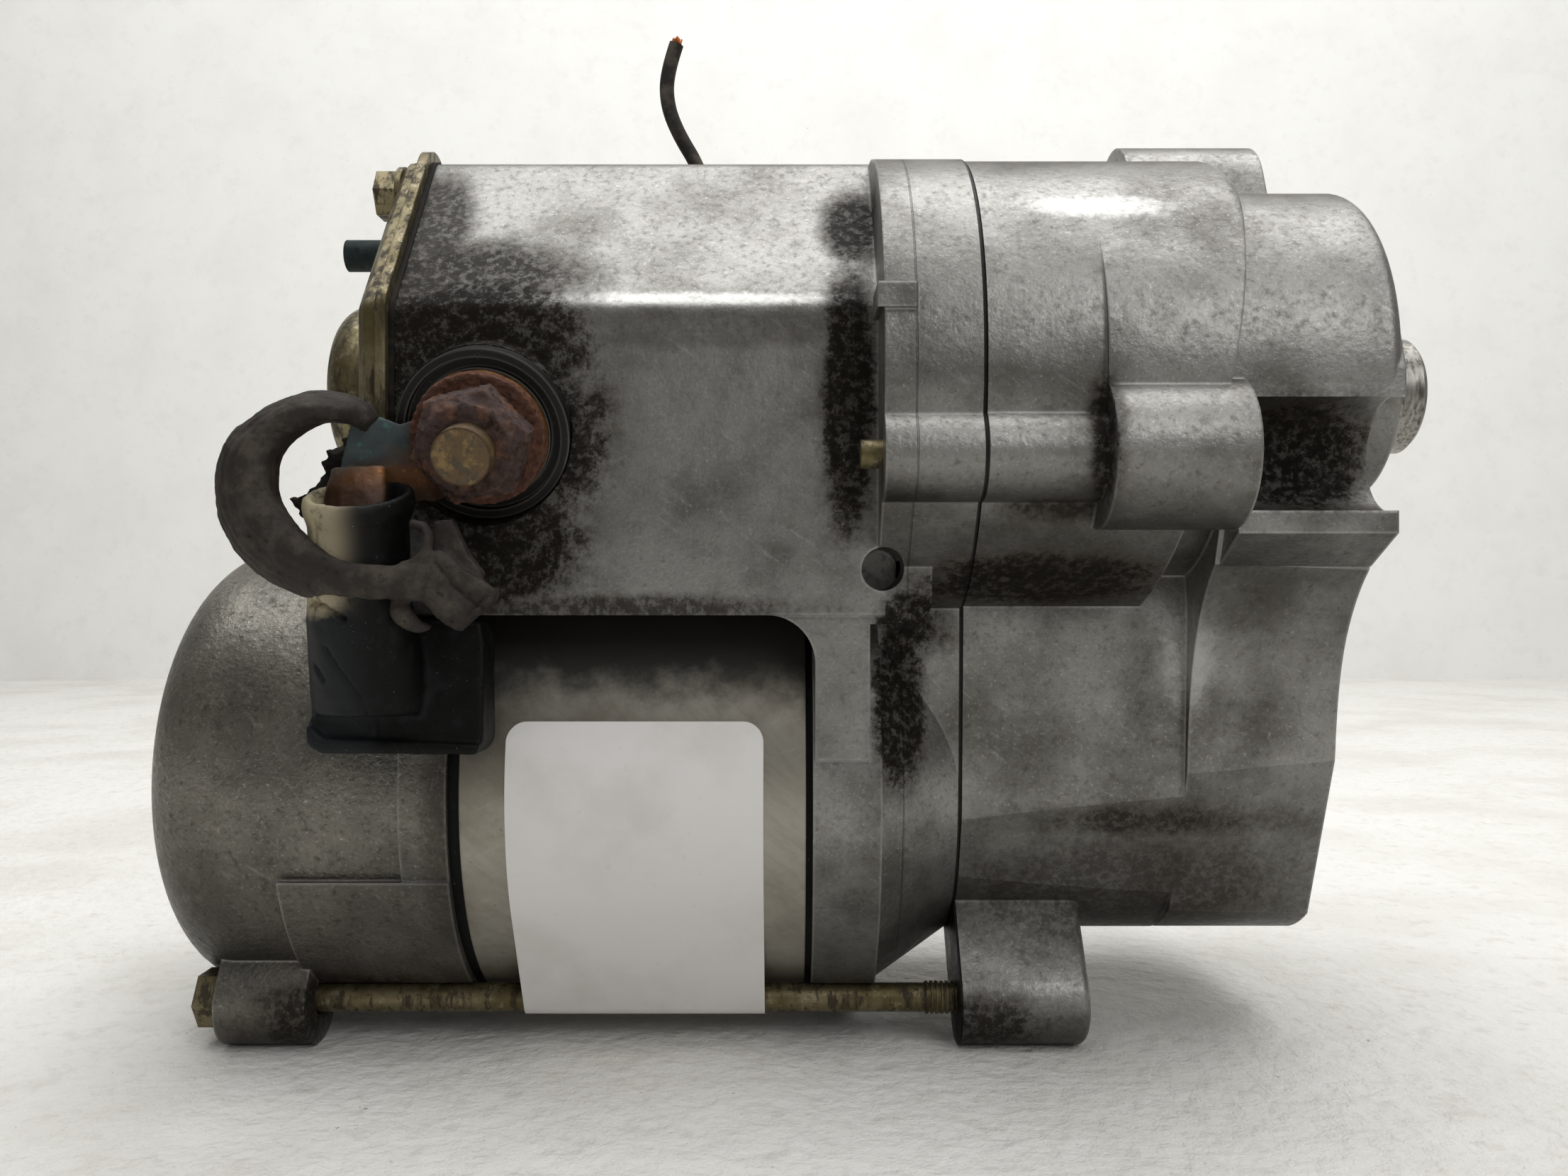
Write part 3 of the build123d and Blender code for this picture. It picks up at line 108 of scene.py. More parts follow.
class Surface:
    """A material painted in layers. Its masks are sockets from 0 to 1, in the row frame."""

    def __init__(self, name, base, metallic, roughness):
        self.material = bpy.data.materials.new(name)
        self.material.use_nodes = True
        self.nodes = self.material.node_tree.nodes
        self.links = self.material.node_tree.links
        self.shader = self.nodes["Principled BSDF"]
        self.place = self.nodes.new("ShaderNodeTexCoord").outputs["Object"]
        self.colour = tint(base)
        self.metallic = metallic
        self.roughness = roughness
        self.height = None

    def feed(self, socket, value):
        if isinstance(value, bpy.types.NodeSocket):
            self.links.new(value, socket)
        else:
            socket.default_value = value

    def math(self, operation, first, second=0.0):
        node = self.nodes.new("ShaderNodeMath")
        node.operation = operation
        self.feed(node.inputs[0], first)
        self.feed(node.inputs[1], second)
        return node.outputs[0]

    def spread(self, value, low, high, to_low=0.0, to_high=1.0):
        """value from low..high to to_low..to_high, eased at both ends."""
        node = self.nodes.new("ShaderNodeMapRange")
        node.interpolation_type = "SMOOTHSTEP"
        self.feed(node.inputs["Value"], value)
        node.inputs["From Min"].default_value = low
        node.inputs["From Max"].default_value = high
        node.inputs["To Min"].default_value = to_low
        node.inputs["To Max"].default_value = to_high
        return node.outputs["Result"]

    def noise(self, size, detail=5.0, rough=0.6, stretch=1.0, turn=(0, 0, 0), shift=0.0):
        """Fractal noise with grains of that size in mm, drawn out along its turned local x."""
        mapping = self.nodes.new("ShaderNodeMapping")
        mapping.vector_type = "TEXTURE"
        self.links.new(self.place, mapping.inputs["Vector"])
        mapping.inputs["Location"].default_value = (shift, shift * 0.7, -shift)
        mapping.inputs["Rotation"].default_value = [math.radians(a) for a in turn]
        mapping.inputs["Scale"].default_value = (size * MM * stretch, size * MM, size * MM)
        node = self.nodes.new("ShaderNodeTexNoise")
        self.links.new(mapping.outputs["Vector"], node.inputs["Vector"])
        node.inputs["Scale"].default_value = 1.0
        node.inputs["Detail"].default_value = detail
        node.inputs["Roughness"].default_value = rough
        return node.outputs["Fac"]

    def pits(self, size):
        """Distance to the nearest of scattered points that far apart in mm, in cell units."""
        node = self.nodes.new("ShaderNodeTexVoronoi")
        self.links.new(self.place, node.inputs["Vector"])
        node.inputs["Scale"].default_value = 1.0 / (size * MM)
        return node.outputs["Distance"]

    def axis(self, letter):
        """One coordinate of the point, in metres."""
        node = self.nodes.new("ShaderNodeSeparateXYZ")
        self.links.new(self.place, node.inputs[0])
        return node.outputs[letter]

    def facing(self, letter):
        """One component of the surface's own normal, from -1 to 1."""
        normal = self.nodes.new("ShaderNodeTexCoord").outputs["Normal"]
        node = self.nodes.new("ShaderNodeSeparateXYZ")
        self.links.new(normal, node.inputs[0])
        return node.outputs[letter]

    def ragged_ellipsoid(self, centre, radii, ragged=0.7, ragged_size=6.0):
        """1 in the middle of an ellipsoid in mm, 0 outside it, with a ragged edge."""
        mapping = self.nodes.new("ShaderNodeMapping")
        mapping.vector_type = "TEXTURE"
        self.links.new(self.place, mapping.inputs["Vector"])
        mapping.inputs["Location"].default_value = mm(*centre)
        mapping.inputs["Scale"].default_value = mm(*radii)
        length = self.nodes.new("ShaderNodeVectorMath")
        length.operation = "LENGTH"
        self.links.new(mapping.outputs["Vector"], length.inputs[0])
        wander = self.math("MULTIPLY", self.noise(ragged_size, 6.0, 0.75), ragged)
        crumbs = self.math("MULTIPLY", self.noise(0.9, 5.0, 0.8, shift=4.1), ragged * 0.8)
        reach = self.math("ADD", length.outputs["Value"], self.math("ADD", wander, crumbs))
        return self.spread(reach, 1.2, 1.85, 1.0, 0.0)

    def either(self, *masks):
        """The strongest of several masks."""
        total = masks[0]
        for mask in masks[1:]:
            total = self.math("MAXIMUM", total, mask)
        return total

    def times(self, first, second):
        return self.math("MULTIPLY", first, second)

    def edges(self, radius, low=0.02, high=0.16):
        """1 on outer and inner edges of that radius in mm, 0 on flat areas."""
        bevel = self.nodes.new("ShaderNodeBevel")
        bevel.samples = 4
        bevel.inputs["Radius"].default_value = radius * MM
        geometry = self.nodes.new("ShaderNodeNewGeometry")
        dot = self.nodes.new("ShaderNodeVectorMath")
        dot.operation = "DOT_PRODUCT"
        self.links.new(bevel.outputs[0], dot.inputs[0])
        self.links.new(geometry.outputs["Normal"], dot.inputs[1])
        return self.spread(self.math("SUBTRACT", 1.0, dot.outputs["Value"]), low, high)

    def paint(self, code, mask):
        """Lay a colour over what is there, as strong as the mask."""
        node = self.nodes.new("ShaderNodeMix")
        node.data_type = "RGBA"
        self.feed(node.inputs["Factor"], mask)
        self.feed(node.inputs[6], self.colour)
        self.feed(node.inputs[7], tint(code) if isinstance(code, str) else code)
        self.colour = node.outputs[2]

    def blend(self, value, target, mask):
        node = self.nodes.new("ShaderNodeMix")
        self.feed(node.inputs["Factor"], mask)
        self.feed(node.inputs[2], value)
        self.feed(node.inputs[3], target)
        return node.outputs[0]

    def coat(self, mask, roughness=None, metallic=None):
        """Where the mask is, the surface has this roughness and metalness instead."""
        if roughness is not None:
            self.roughness = self.blend(self.roughness, roughness, mask)
        if metallic is not None:
            self.metallic = self.blend(self.metallic, metallic, mask)

    def raise_by(self, value, height):
        """Add value times height in mm to the relief."""
        step = self.math("MULTIPLY", value, height * MM)
        self.height = step if self.height is None else self.math("ADD", self.height, step)

    def done(self, round_edges=0.0, strength=1.0):
        """Feed the shader, and return the material. round_edges in mm softens hard edges."""
        self.feed(self.shader.inputs["Base Color"], self.colour)
        self.feed(self.shader.inputs["Metallic"], self.metallic)
        self.feed(self.shader.inputs["Roughness"], self.roughness)
        normal = None
        if round_edges:
            bevel = self.nodes.new("ShaderNodeBevel")
            bevel.samples = 4
            bevel.inputs["Radius"].default_value = round_edges * MM
            normal = bevel.outputs[0]
        if self.height is not None:
            bump = self.nodes.new("ShaderNodeBump")
            bump.inputs["Strength"].default_value = strength
            bump.inputs["Distance"].default_value = 1.0
            self.links.new(self.height, bump.inputs["Height"])
            if normal is not None:
                self.links.new(normal, bump.inputs["Normal"])
            normal = bump.outputs[0]
        if normal is not None:
            self.links.new(normal, self.shader.inputs["Normal"])
        return self.material


# Colours shared by several materials. The soot black and the oily brown also serve as painted shadow
# and painted shade.
SOOT_AND_SHADOW_BLACK = "#15130f"
OIL_AND_SHADE_BROWN = "#2a241b"
DUST = "#8d8577"
DARK_RUST = "#2e1a12"


def cast_metal(name, base, grain, mottling, stains_and_shade=(), painted_highlights=(), lines=()):
    """Sand-cast aluminium, oxidised and handled, with oily dirt and some painted shade where the
    stain ellipsoids lie, painted highlights in the bright ellipsoids, and painted shade on faces
    turned down.

    lines are the joints and scribed lines round it: (x, half width, strength), in mm.
    """
    s = Surface(name, base, 0.82, 0.36)
    cloud = s.noise(16.0, 6.0, 0.62)
    fine = s.noise(1.1, 5.0, 0.65, shift=0.3)
    brushed = s.noise(0.9, 3.0, 0.6, stretch=7.0, turn=(0, 38, 0), shift=0.8)
    s.paint("#5f5d58", s.spread(cloud, 0.36, 0.74))
    s.paint("#45413a", s.times(s.spread(fine, 0.5, 0.78), mottling))
    s.paint("#b9b9b7", s.times(s.spread(brushed, 0.58, 0.82), 0.28))
    grit = s.noise(0.5, 4.0, 0.8, shift=3.3)
    s.paint("#d0cfcb", s.times(s.spread(grit, 0.56, 0.72), 0.45))
    s.paint("#3a362f", s.times(s.spread(grit, 0.44, 0.28), 0.5))
    roof = s.spread(s.facing("Z"), 0.75, 0.97)
    streaks = s.noise(2.4, 5.0, 0.65, stretch=6.0, turn=(0, 0, 58), shift=3.7)
    s.paint("#4b4740", s.times(roof, s.spread(streaks, 0.3, 0.7, 0.6, 1.0)))
    s.coat(roof, 0.68, 0.5)
    patchy = s.spread(s.noise(9.0, 4.0, 0.6, shift=2.9), 0.48, 0.66)
    speck = s.spread(s.noise(0.9, 8.0, 0.85, shift=1.7), 0.58, 0.68)
    s.paint("#2c2822", s.times(speck, s.times(patchy, 0.75)))
    # Painted highlights: pale patches where the casting would catch the light.
    for centre, radii in painted_highlights:
        s.paint("#c9c9c6", s.times(s.ragged_ellipsoid(centre, radii, 0.9, 2.4), 0.6))
    # Painted shade: faces turned down are painted darker.
    underside_shade = s.spread(s.facing("Z"), -0.85, 0.15, 0.75, 0.0)
    s.paint("#2b2822", s.times(underside_shade, s.spread(cloud, 0.25, 0.6, 0.7, 1.0)))
    # Oily dirt darkening to soot where the stain ellipsoids lie; some of the housing's ellipsoids
    # are painted shade, not dirt.
    darkening = None
    for centre, radii, strength in stains_and_shade:
        mask = s.times(s.ragged_ellipsoid(centre, radii), strength)
        darkening = mask if darkening is None else s.either(darkening, mask)
    s.paint("#d2d1ce", s.times(s.edges(0.7), 0.4))
    if darkening is not None:
        flecks = s.spread(s.noise(1.3, 5.0, 0.75, shift=2.2), 0.45, 0.62, 1.0, 0.72)
        soiled_and_shaded = s.times(darkening, flecks)
        s.paint(OIL_AND_SHADE_BROWN, soiled_and_shaded)
        s.paint(SOOT_AND_SHADOW_BLACK, s.spread(soiled_and_shaded, 0.55, 1.0, 0.0, 0.85))
        s.coat(soiled_and_shaded, 0.68, 0.1)
        s.feed(s.shader.inputs["Specular IOR Level"], s.blend(0.5, 0.06, soiled_and_shaded))
    for x, half_width, strength in lines:
        off = s.math("ABSOLUTE", s.math("SUBTRACT", s.axis("X"), x * MM))
        groove = s.spread(off, half_width * MM * 0.5, half_width * MM, 1.0, 0.0)
        s.paint(SOOT_AND_SHADOW_BLACK, s.times(groove, strength))
        s.raise_by(groove, -0.35 * strength)
    s.roughness = s.blend(s.roughness, 0.52, s.spread(fine, 0.4, 0.7))
    s.raise_by(s.noise(0.85, 4.0, 0.65, shift=0.5), grain)
    s.raise_by(s.noise(6.0, 2.0, 0.5), grain * 1.5)
    return s.done(round_edges=0.6)


stud_foot = tuple(on_stud(26.0))
HOUSE_STAINS_AND_SHADE = [
    (stud_foot, (21.0, 12.0, 19.0), 1.0),
    ((-128.0, -22.0, 3.0), (21.0, 12.0, 14.0), 1.0),
    ((-124.0, -22.0, -25.0), (14.0, 12.0, 11.0), 1.0),
    ((-130.0, -18.0, 13.0), (20.0, 14.0, 9.0), 0.85),
    # Painted shade: a long dark band along the switch housing's lower edge, where it overhangs the
    # yoke.
    ((-108.0, -21.0, -34.0), (34.0, 9.0, 2.6), 0.8),
    ((-137.0, -10.0, 22.0), (7.0, 17.0, 14.0), 0.8),
    ((-74.5, -24.0, -4.0), (4.6, 12.0, 24.0), 1.0),
    ((-73.5, -14.0, 24.0), (5.0, 14.0, 9.0), 0.9),
    # Painted shade: a dark band under the rounded ridge.
    ((-98.0, -25.0, 6.0), (36.0, 6.0, 3.4), 0.55),
    ((-66.5, -18.0, -48.0), (5.6, 14.0, 15.0), 1.0),
    ((-64.0, -13.0, -98.0), (26.0, 12.0, 6.0), 0.85),
    # Painted shade: the next two darken the crease under the barrel, on both sides of the seam.
    ((-46.0, -24.0, -31.0), (23.0, 14.0, 6.0), 1.0),
    ((-64.0, -22.0, -37.0), (8.0, 14.0, 7.0), 1.0),
    ((-46.5, -28.0, -19.5), (9.0, 8.0, 2.6), 0.8),
    ((-11.0, -29.0, -12.5), (15.0, 16.0, 9.5), 1.0),
    ((-29.5, -24.0, -46.0), (6.0, 12.0, 16.0), 1.0),
    ((-12.0, -24.0, -50.0), (5.0, 12.0, 14.0), 0.45),
    ((-26.0, -20.0, -67.5), (30.0, 16.0, 4.5), 0.8),
    ((-30.0, -12.0, -79.0), (36.0, 20.0, 11.0), 0.7),
    ((-41.0, -33.0, -11.0), (2.6, 12.0, 11.0), 0.9),
    ((-47.0, -8.0, 33.0), (12.0, 16.0, 5.0), 0.4),
]
# Painted highlights on the housing: along the rounded ridge and on two other lit faces.
HOUSE_PAINTED_HIGHLIGHTS = [
    ((-100.0, -24.5, 10.5), (32.0, 4.0, 1.7)),
    ((-24.0, -16.0, -43.0), (6.0, 5.0, 12.0)),
    ((-40.0, -26.0, 22.0), (14.0, 8.0, 3.0)),
]
END_STAINS = [
    ((-146.0, -22.0, -38.0), (16.0, 10.0, 7.0), 0.9),
    ((-133.5, -14.0, -62.0), (4.0, 14.0, 30.0), 0.6),
    ((-150.0, -12.0, -97.0), (18.0, 14.0, 8.0), 0.85),
    ((-166.0, -12.0, -48.0), (14.0, 14.0, 10.0), 0.6),
    ((-171.0, -8.0, -70.0), (9.0, 16.0, 14.0), 0.5),
]
HOUSE_LINES = [(SEAM_X, 0.34, 0.95), (SCRIBED_X, 0.16, 0.3)]

DRIVE_HOUSE = cast_metal(
    "cast_housing", "#8f8e8a", 0.09, 0.5, HOUSE_STAINS_AND_SHADE, HOUSE_PAINTED_HIGHLIGHTS, HOUSE_LINES
)
END_CASTING = cast_metal("cast_end_frame", "#7f7b72", 0.2, 0.95, END_STAINS)


def turned_steel():
    s = Surface("yoke_steel", "#99958b", 0.85, 0.38)
    swirl = s.noise(1.3, 5.0, 0.65, stretch=6.0, turn=(0, 42, 0))
    cross = s.noise(0.9, 4.0, 0.6, stretch=9.0, turn=(0, -24, 0), shift=1.0)
    s.paint("#7e796e", s.times(s.spread(swirl, 0.42, 0.7), 0.4))
    s.paint("#b9b5aa", s.times(s.spread(cross, 0.55, 0.78), 0.25))
    s.paint("#6a6255", s.times(s.spread(s.noise(16.0, 5.0), 0.45, 0.7), 0.6))
    specks = s.spread(s.noise(1.1, 4.0, 0.75, shift=2.0), 0.64, 0.72)
    rear = s.spread(s.axis("X"), -0.131, -0.118, 1.0, 0.08)
    s.paint(DARK_RUST, s.times(specks, rear))
    # Painted shadow: the yoke's top, under the switch housing, is painted near black, with a wavy
    # edge.
    wander = s.math("MULTIPLY", s.noise(5.0, 6.0, 0.7), 0.012)
    shade = s.spread(s.math("ADD", s.axis("Z"), wander), -0.045, -0.036)
    s.paint(SOOT_AND_SHADOW_BLACK, s.times(shade, 0.95))
    s.coat(shade, 0.7, 0.15)
    s.raise_by(swirl, 0.012)
    s.raise_by(cross, 0.008)
    return s.done(round_edges=0.4)


def yellow_zinc():
    s = Surface("zinc_plate", "#7d7358", 0.8, 0.4)
    cloud = s.noise(7.0, 6.0, 0.65)
    s.paint("#5f5639", s.spread(cloud, 0.4, 0.62))
    s.paint("#b3ab94", s.times(s.spread(s.noise(3.0, 5.0, 0.7, shift=1.0), 0.54, 0.7), 0.45))
    drip = s.noise(1.6, 5.0, 0.7, stretch=5.0, turn=(0, 90, 0), shift=2.0)
    s.paint("#2e2518", s.times(s.spread(drip, 0.47, 0.62), 0.9))
    s.paint("#1f1810", s.times(s.spread(s.noise(0.8, 4.0, 0.7, shift=3.0), 0.6, 0.7), 0.8))
    s.coat(s.spread(drip, 0.45, 0.65), 0.65, 0.4)
    s.raise_by(drip, 0.06)
    s.raise_by(s.noise(0.6, 3.0, 0.6), 0.03)
    return s.done(round_edges=0.5)


def rusted_steel():
    """Rusted steel: brown on the nut's own flats, orange and crumbling on its washer."""
    s = Surface("rusty_steel", "#463733", 0.6, 0.5)
    crust = s.noise(0.9, 6.0, 0.75)
    cloud = s.noise(4.0, 5.0, 0.65, shift=1.0)
    s.paint("#6b4a3a", s.spread(cloud, 0.46, 0.66))
    s.paint(DARK_RUST, s.spread(s.noise(1.6, 6.0, 0.7, shift=2.0), 0.5, 0.66))
    s.paint("#8b5a45", s.times(s.edges(0.8), 0.55))
    along_y = s.math("MULTIPLY", s.axis("Y"), stud_out.y)
    along_z = s.math("MULTIPLY", s.axis("Z"), stud_out.z)
    along = s.math("ADD", along_y, along_z)
    washer = s.spread(along, 0.0300, 0.0318, 1.0, 0.0)
    s.paint("#5c3a2a", s.times(washer, 0.85))
    s.paint("#7b4a2f", s.times(washer, s.spread(crust, 0.5, 0.7)))
    s.paint(DARK_RUST, s.times(washer, s.spread(s.noise(0.8, 5.0, 0.8, shift=3.0), 0.55, 0.66)))
    s.coat(s.spread(crust, 0.4, 0.6), 0.85, 0.15)
    s.raise_by(crust, 0.35)
    s.raise_by(s.pits(0.9), 0.12)
    return s.done(round_edges=0.3)


def patinated_copper():
    s = Surface("copper_lug", "#6b4726", 0.45, 0.5)
    cloud = s.noise(3.5, 6.0, 0.65)
    s.paint("#6a3f1e", s.spread(cloud, 0.45, 0.65))
    s.paint("#b4793a", s.times(s.spread(s.noise(1.2, 4.0, 0.6, shift=1.0), 0.55, 0.75), 0.5))
    height = s.math("ADD", s.axis("Z"), s.math("MULTIPLY", s.axis("X"), -0.35))
    wavy = s.math("ADD", height, s.math("MULTIPLY", cloud, 0.006))
    rear = s.spread(s.axis("X"), -0.1375, -0.1335, 1.0, 0.0)
    teal = s.times(s.spread(wavy, 0.0360, 0.0405), rear)
    s.paint("#3f484a", teal)
    s.paint("#45685f", s.times(teal, s.spread(s.noise(1.8, 5.0, 0.7, shift=2.0), 0.54, 0.7)))
    s.paint("#241509", s.spread(s.axis("Z"), -0.0185, -0.0145, 0.85, 0.0))
    s.coat(teal, 0.8, 0.1)
    s.raise_by(cloud, 0.12)
    s.raise_by(s.noise(0.5, 3.0, 0.6), 0.05)
    return s.done(round_edges=0.6)


def gold_stud():
    s = Surface("stud_brass", "#5c4a33", 0.5, 0.5)
    s.paint("#7d6744", s.spread(s.noise(2.2, 5.0, 0.6), 0.48, 0.66))
    s.paint("#4a4133", s.spread(s.noise(1.5, 5.0, 0.65, shift=1.0), 0.5, 0.62))
    s.paint(DARK_RUST, s.times(s.edges(0.7), 0.9))
    s.raise_by(s.noise(0.9, 5.0, 0.7), 0.12)
    return s.done(round_edges=0.5)


def aged_rubber(name, base, dust, dust_amount, relief):
    s = Surface(name, base, 0.0, 0.62)
    cloud = s.noise(5.0, 6.0, 0.65)
    s.paint(dust, s.times(s.spread(cloud, 0.42, 0.68), dust_amount))
    s.paint(dust, s.times(s.spread(s.noise(0.5, 4.0, 0.75, shift=1.0), 0.6, 0.74), dust_amount))
    s.paint("#0b0a09", s.times(s.spread(s.noise(1.7, 6.0, 0.7, shift=2.0), 0.56, 0.7), 0.7))
    s.paint("#0f0d0c", s.times(s.edges(0.9, 0.01, 0.12), 0.5))
    s.shader.inputs["Specular IOR Level"].default_value = 0.15
    s.coat(s.spread(cloud, 0.4, 0.65), 0.82)
    s.raise_by(s.noise(0.45, 4.0, 0.65), relief)
    s.raise_by(s.noise(3.0, 3.0, 0.6, shift=0.6), relief * 2.0)
    return s.done(round_edges=0.3)


def boot_rubber():
    """The lead's boot: bleached ivory on the left of its neck, black on the right and below."""
    s = Surface("boot_rubber", "#1d1f21", 0.0, 0.5)
    cloud = s.noise(6.0, 5.0, 0.6)
    wavy = s.math("ADD", s.axis("Z"), s.math("MULTIPLY", cloud, 0.006))
    neck = s.spread(wavy, -0.0325, -0.0285)
    left = s.spread(s.axis("X"), -0.1435, -0.1375, 1.0, 0.0)
    s.paint("#8f8671", s.times(neck, left))
    far_left = s.spread(s.axis("X"), -0.1475, -0.1430, 1.0, 0.0)
    s.paint("#b9ae8c", s.times(s.times(neck, far_left), 0.6))
    scuffed = s.ragged_ellipsoid((-145.0, -36.0, -33.0), (5.0, 8.0, 2.6), 0.9, 3.0)
    s.paint("#a79d82", s.times(scuffed, 0.7))
    right = s.spread(s.axis("X"), -0.1435, -0.1375)
    s.paint("#0a0a09", s.times(right, 0.97))
    s.paint("#17191c", s.times(s.spread(s.noise(3.0, 6.0, 0.7, shift=1.0), 0.5, 0.66), 0.7))
    speck = s.spread(s.noise(0.45, 3.0, 0.7, shift=2.0), 0.68, 0.76)
    s.paint("#a9a294", s.times(speck, 0.55))
    s.shader.inputs["Specular IOR Level"].default_value = 0.12
    s.raise_by(s.noise(0.5, 4.0, 0.65), 0.03)
    s.raise_by(cloud, 0.12)
    return s.done()


def plastic(name, base, darkening):
    s = Surface(name, base, 0.0, 0.5)
    s.paint(darkening, s.times(s.spread(s.noise(3.0, 6.0, 0.7), 0.48, 0.66), 0.7))
    s.paint(DUST, s.times(s.spread(s.noise(0.4, 3.0, 0.7, shift=1.0), 0.64, 0.74), 0.4))
    s.paint("#9a948a", s.times(s.edges(0.6), 0.35))
    s.shader.inputs["Specular IOR Level"].default_value = 0.2
    s.raise_by(s.noise(0.5, 4.0, 0.6), 0.03)
    return s.done(round_edges=0.3)


def paper():
    s = Surface("label_paper", "#dcdad8", 0.0, 0.55)
    s.paint("#c9c6c2", s.times(s.spread(s.noise(18.0, 5.0, 0.6), 0.45, 0.7), 0.6))
    s.paint("#a39d92", s.times(s.spread(s.noise(2.2, 6.0, 0.75, shift=1.0), 0.62, 0.76), 0.45))
    s.raise_by(s.noise(0.35, 3.0, 0.7), 0.01)
    s.raise_by(s.noise(14.0, 2.0, 0.5, shift=1.0), 0.10)
    return s.done()


def machined(name, base, shade, metallic, roughness, grain, stretch=8.0):
    """A plain machined or moulded finish with its own tool marks, for the inner parts."""
    s = Surface(name, base, metallic, roughness)
    marks = s.noise(grain, 4.0, 0.6, stretch=stretch, turn=(0, 90, 0))
    s.paint(shade, s.spread(marks, 0.42, 0.66))
    s.paint(SOOT_AND_SHADOW_BLACK, s.times(s.spread(s.noise(5.0, 5.0, 0.7, shift=1.0), 0.55, 0.72), 0.5))
    s.raise_by(marks, grain * 0.04)
    return s.done(round_edges=0.2)


FINISHES = {
    "cast_aluminium": DRIVE_HOUSE,
    "yoke_steel": turned_steel(),
    "zinc_plate": yellow_zinc(),
    "rusty_steel": rusted_steel(),
    "copper": patinated_copper(),
    "winding_copper": machined("winding_copper", "#a45a2c", "#5e2f16", 0.8, 0.35, 0.8, 20.0),
    "rubber": boot_rubber(),
    "cap_rubber": aged_rubber("cap_rubber", "#2d2926", "#5f574e", 0.5, 0.06),
    "trigger_rubber": aged_rubber("trigger_rubber", "#1e2829", "#46504c", 0.5, 0.05),
    "wire_insulation": aged_rubber("wire_insulation", "#2c2a28", "#6d655a", 0.6, 0.03),
    "black_plastic": plastic("black_plastic", "#161514", SOOT_AND_SHADOW_BLACK),
    "gasket": aged_rubber("gasket", "#171513", "#4b443a", 0.5, 0.05),
    "gear_steel": machined("gear_steel", "#8f8d88", "#5b5851", 0.9, 0.35, 0.5),
    "bearing_steel": machined("bearing_steel", "#b5b5b5", "#83827f", 0.95, 0.22, 0.4),
    "core_steel": machined("core_steel", "#6d6b68", "#45433f", 0.85, 0.42, 0.6),
    "spring_steel": machined("spring_steel", "#7e7a74", "#4c4842", 0.9, 0.35, 0.4),
    "carbon": machined("carbon", "#262524", "#151414", 0.1, 0.6, 0.4, 2.0),
    "paper": paper(),
}
NODE_FINISHES = {
    "end_frame": END_CASTING,
    "motor_terminal_bolt": gold_stud(),
}
slot_of = {part["node"]: part["material_slot"] for part in frame["record"]["subparts"]}
for name, node in frame["nodes"].items():
    node.data.materials.clear()
    node.data.materials.append(NODE_FINISHES.get(name) or FINISHES[slot_of[name]])


# -------------------------------------------------------------------- mesh tools
def mesh_piece(name, vertices, faces, material):
    mesh = bpy.data.meshes.new(name)
    mesh.from_pydata([tuple(v) for v in vertices], [], faces)
    mesh.update()
    piece = bpy.data.objects.new(name, mesh)
    scene.collection.objects.link(piece)
    mesh.materials.append(material)
    return piece


def bake_modifiers(piece):
    """Apply every modifier, so the piece is a plain mesh."""
    bpy.context.view_layer.update()
    evaluated = piece.evaluated_get(bpy.context.evaluated_depsgraph_get())
    mesh = bpy.data.meshes.new_from_object(evaluated)
    materials = list(piece.data.materials)
    piece.modifiers.clear()
    piece.data = mesh
    mesh.materials.clear()
    for material in materials:
        mesh.materials.append(material)
    mesh.shade_smooth()


def fuse(piece, voxel, smoothing=2):
    """Melt the piece's overlapping shells into one skin, with the voxel size in mm."""
    remesh = piece.modifiers.new("fuse", "REMESH")
    remesh.mode = "VOXEL"
    remesh.voxel_size = voxel * MM
    if smoothing:
        soften = piece.modifiers.new("soften", "SMOOTH")
        soften.iterations = smoothing
        soften.factor = 0.5
    bake_modifiers(piece)


def move_points(piece, shift):
    """Move each vertex by shift(point, normal), both given and returned in mm."""
    mesh = piece.data
    normals = [v.normal.copy() for v in mesh.vertices]
    for vertex, normal in zip(mesh.vertices, normals):
        vertex.co += shift(vertex.co / MM, normal) * MM
    mesh.update()


def smooth_path(points, count):
    """count points, evenly stepped, on a Catmull-Rom curve through the given tuples."""
    rows = np.array(points, float)
    padded = np.vstack([2 * rows[0] - rows[1], rows, 2 * rows[-1] - rows[-2]])
    samples = []
    for step in np.linspace(0, len(rows) - 1, count):
        i = min(int(step), len(rows) - 2)
        t = step - i
        p0, p1, p2, p3 = padded[i : i + 4]
        samples.append(
            0.5 * (2 * p1 + (p2 - p0) * t + (2 * p0 - 5 * p1 + 4 * p2 - p3) * t**2
                   + (3 * p1 - p0 - 3 * p2 + p3) * t**3)
        )
    return np.array(samples)


def skin_rings(rings, closed_ends=True):
    """Vertices and faces of a skin over rings of equally many points."""
    size = len(rings[0])
    vertices = [p for ring in rings for p in ring]
    faces = []
    for r in range(len(rings) - 1):
        for i in range(size):
            j = (i + 1) % size
            faces.append((r * size + i, r * size + j, (r + 1) * size + j, (r + 1) * size + i))
    if closed_ends:
        faces.append(tuple(reversed(range(size))))
        faces.append(tuple((len(rings) - 1) * size + i for i in range(size)))
    return vertices, faces


def shells(*parts):
    """Several (vertices, faces) joined into one pair."""
    vertices, faces = [], []
    for part_vertices, part_faces in parts:
        base = len(vertices)
        vertices += list(part_vertices)
        faces += [tuple(base + i for i in face) for face in part_faces]
    return vertices, faces


def slab(outline, front, back):
    """A plate with an (x, z) outline in mm, from y front to y back, which may be functions."""
    depth_of = [f if callable(f) else (lambda x, z, f=f: f) for f in (front, back)]
    rings = [[mm(x, depth(x, z), z) for x, z in outline] for depth in depth_of]
    return skin_rings(rings)


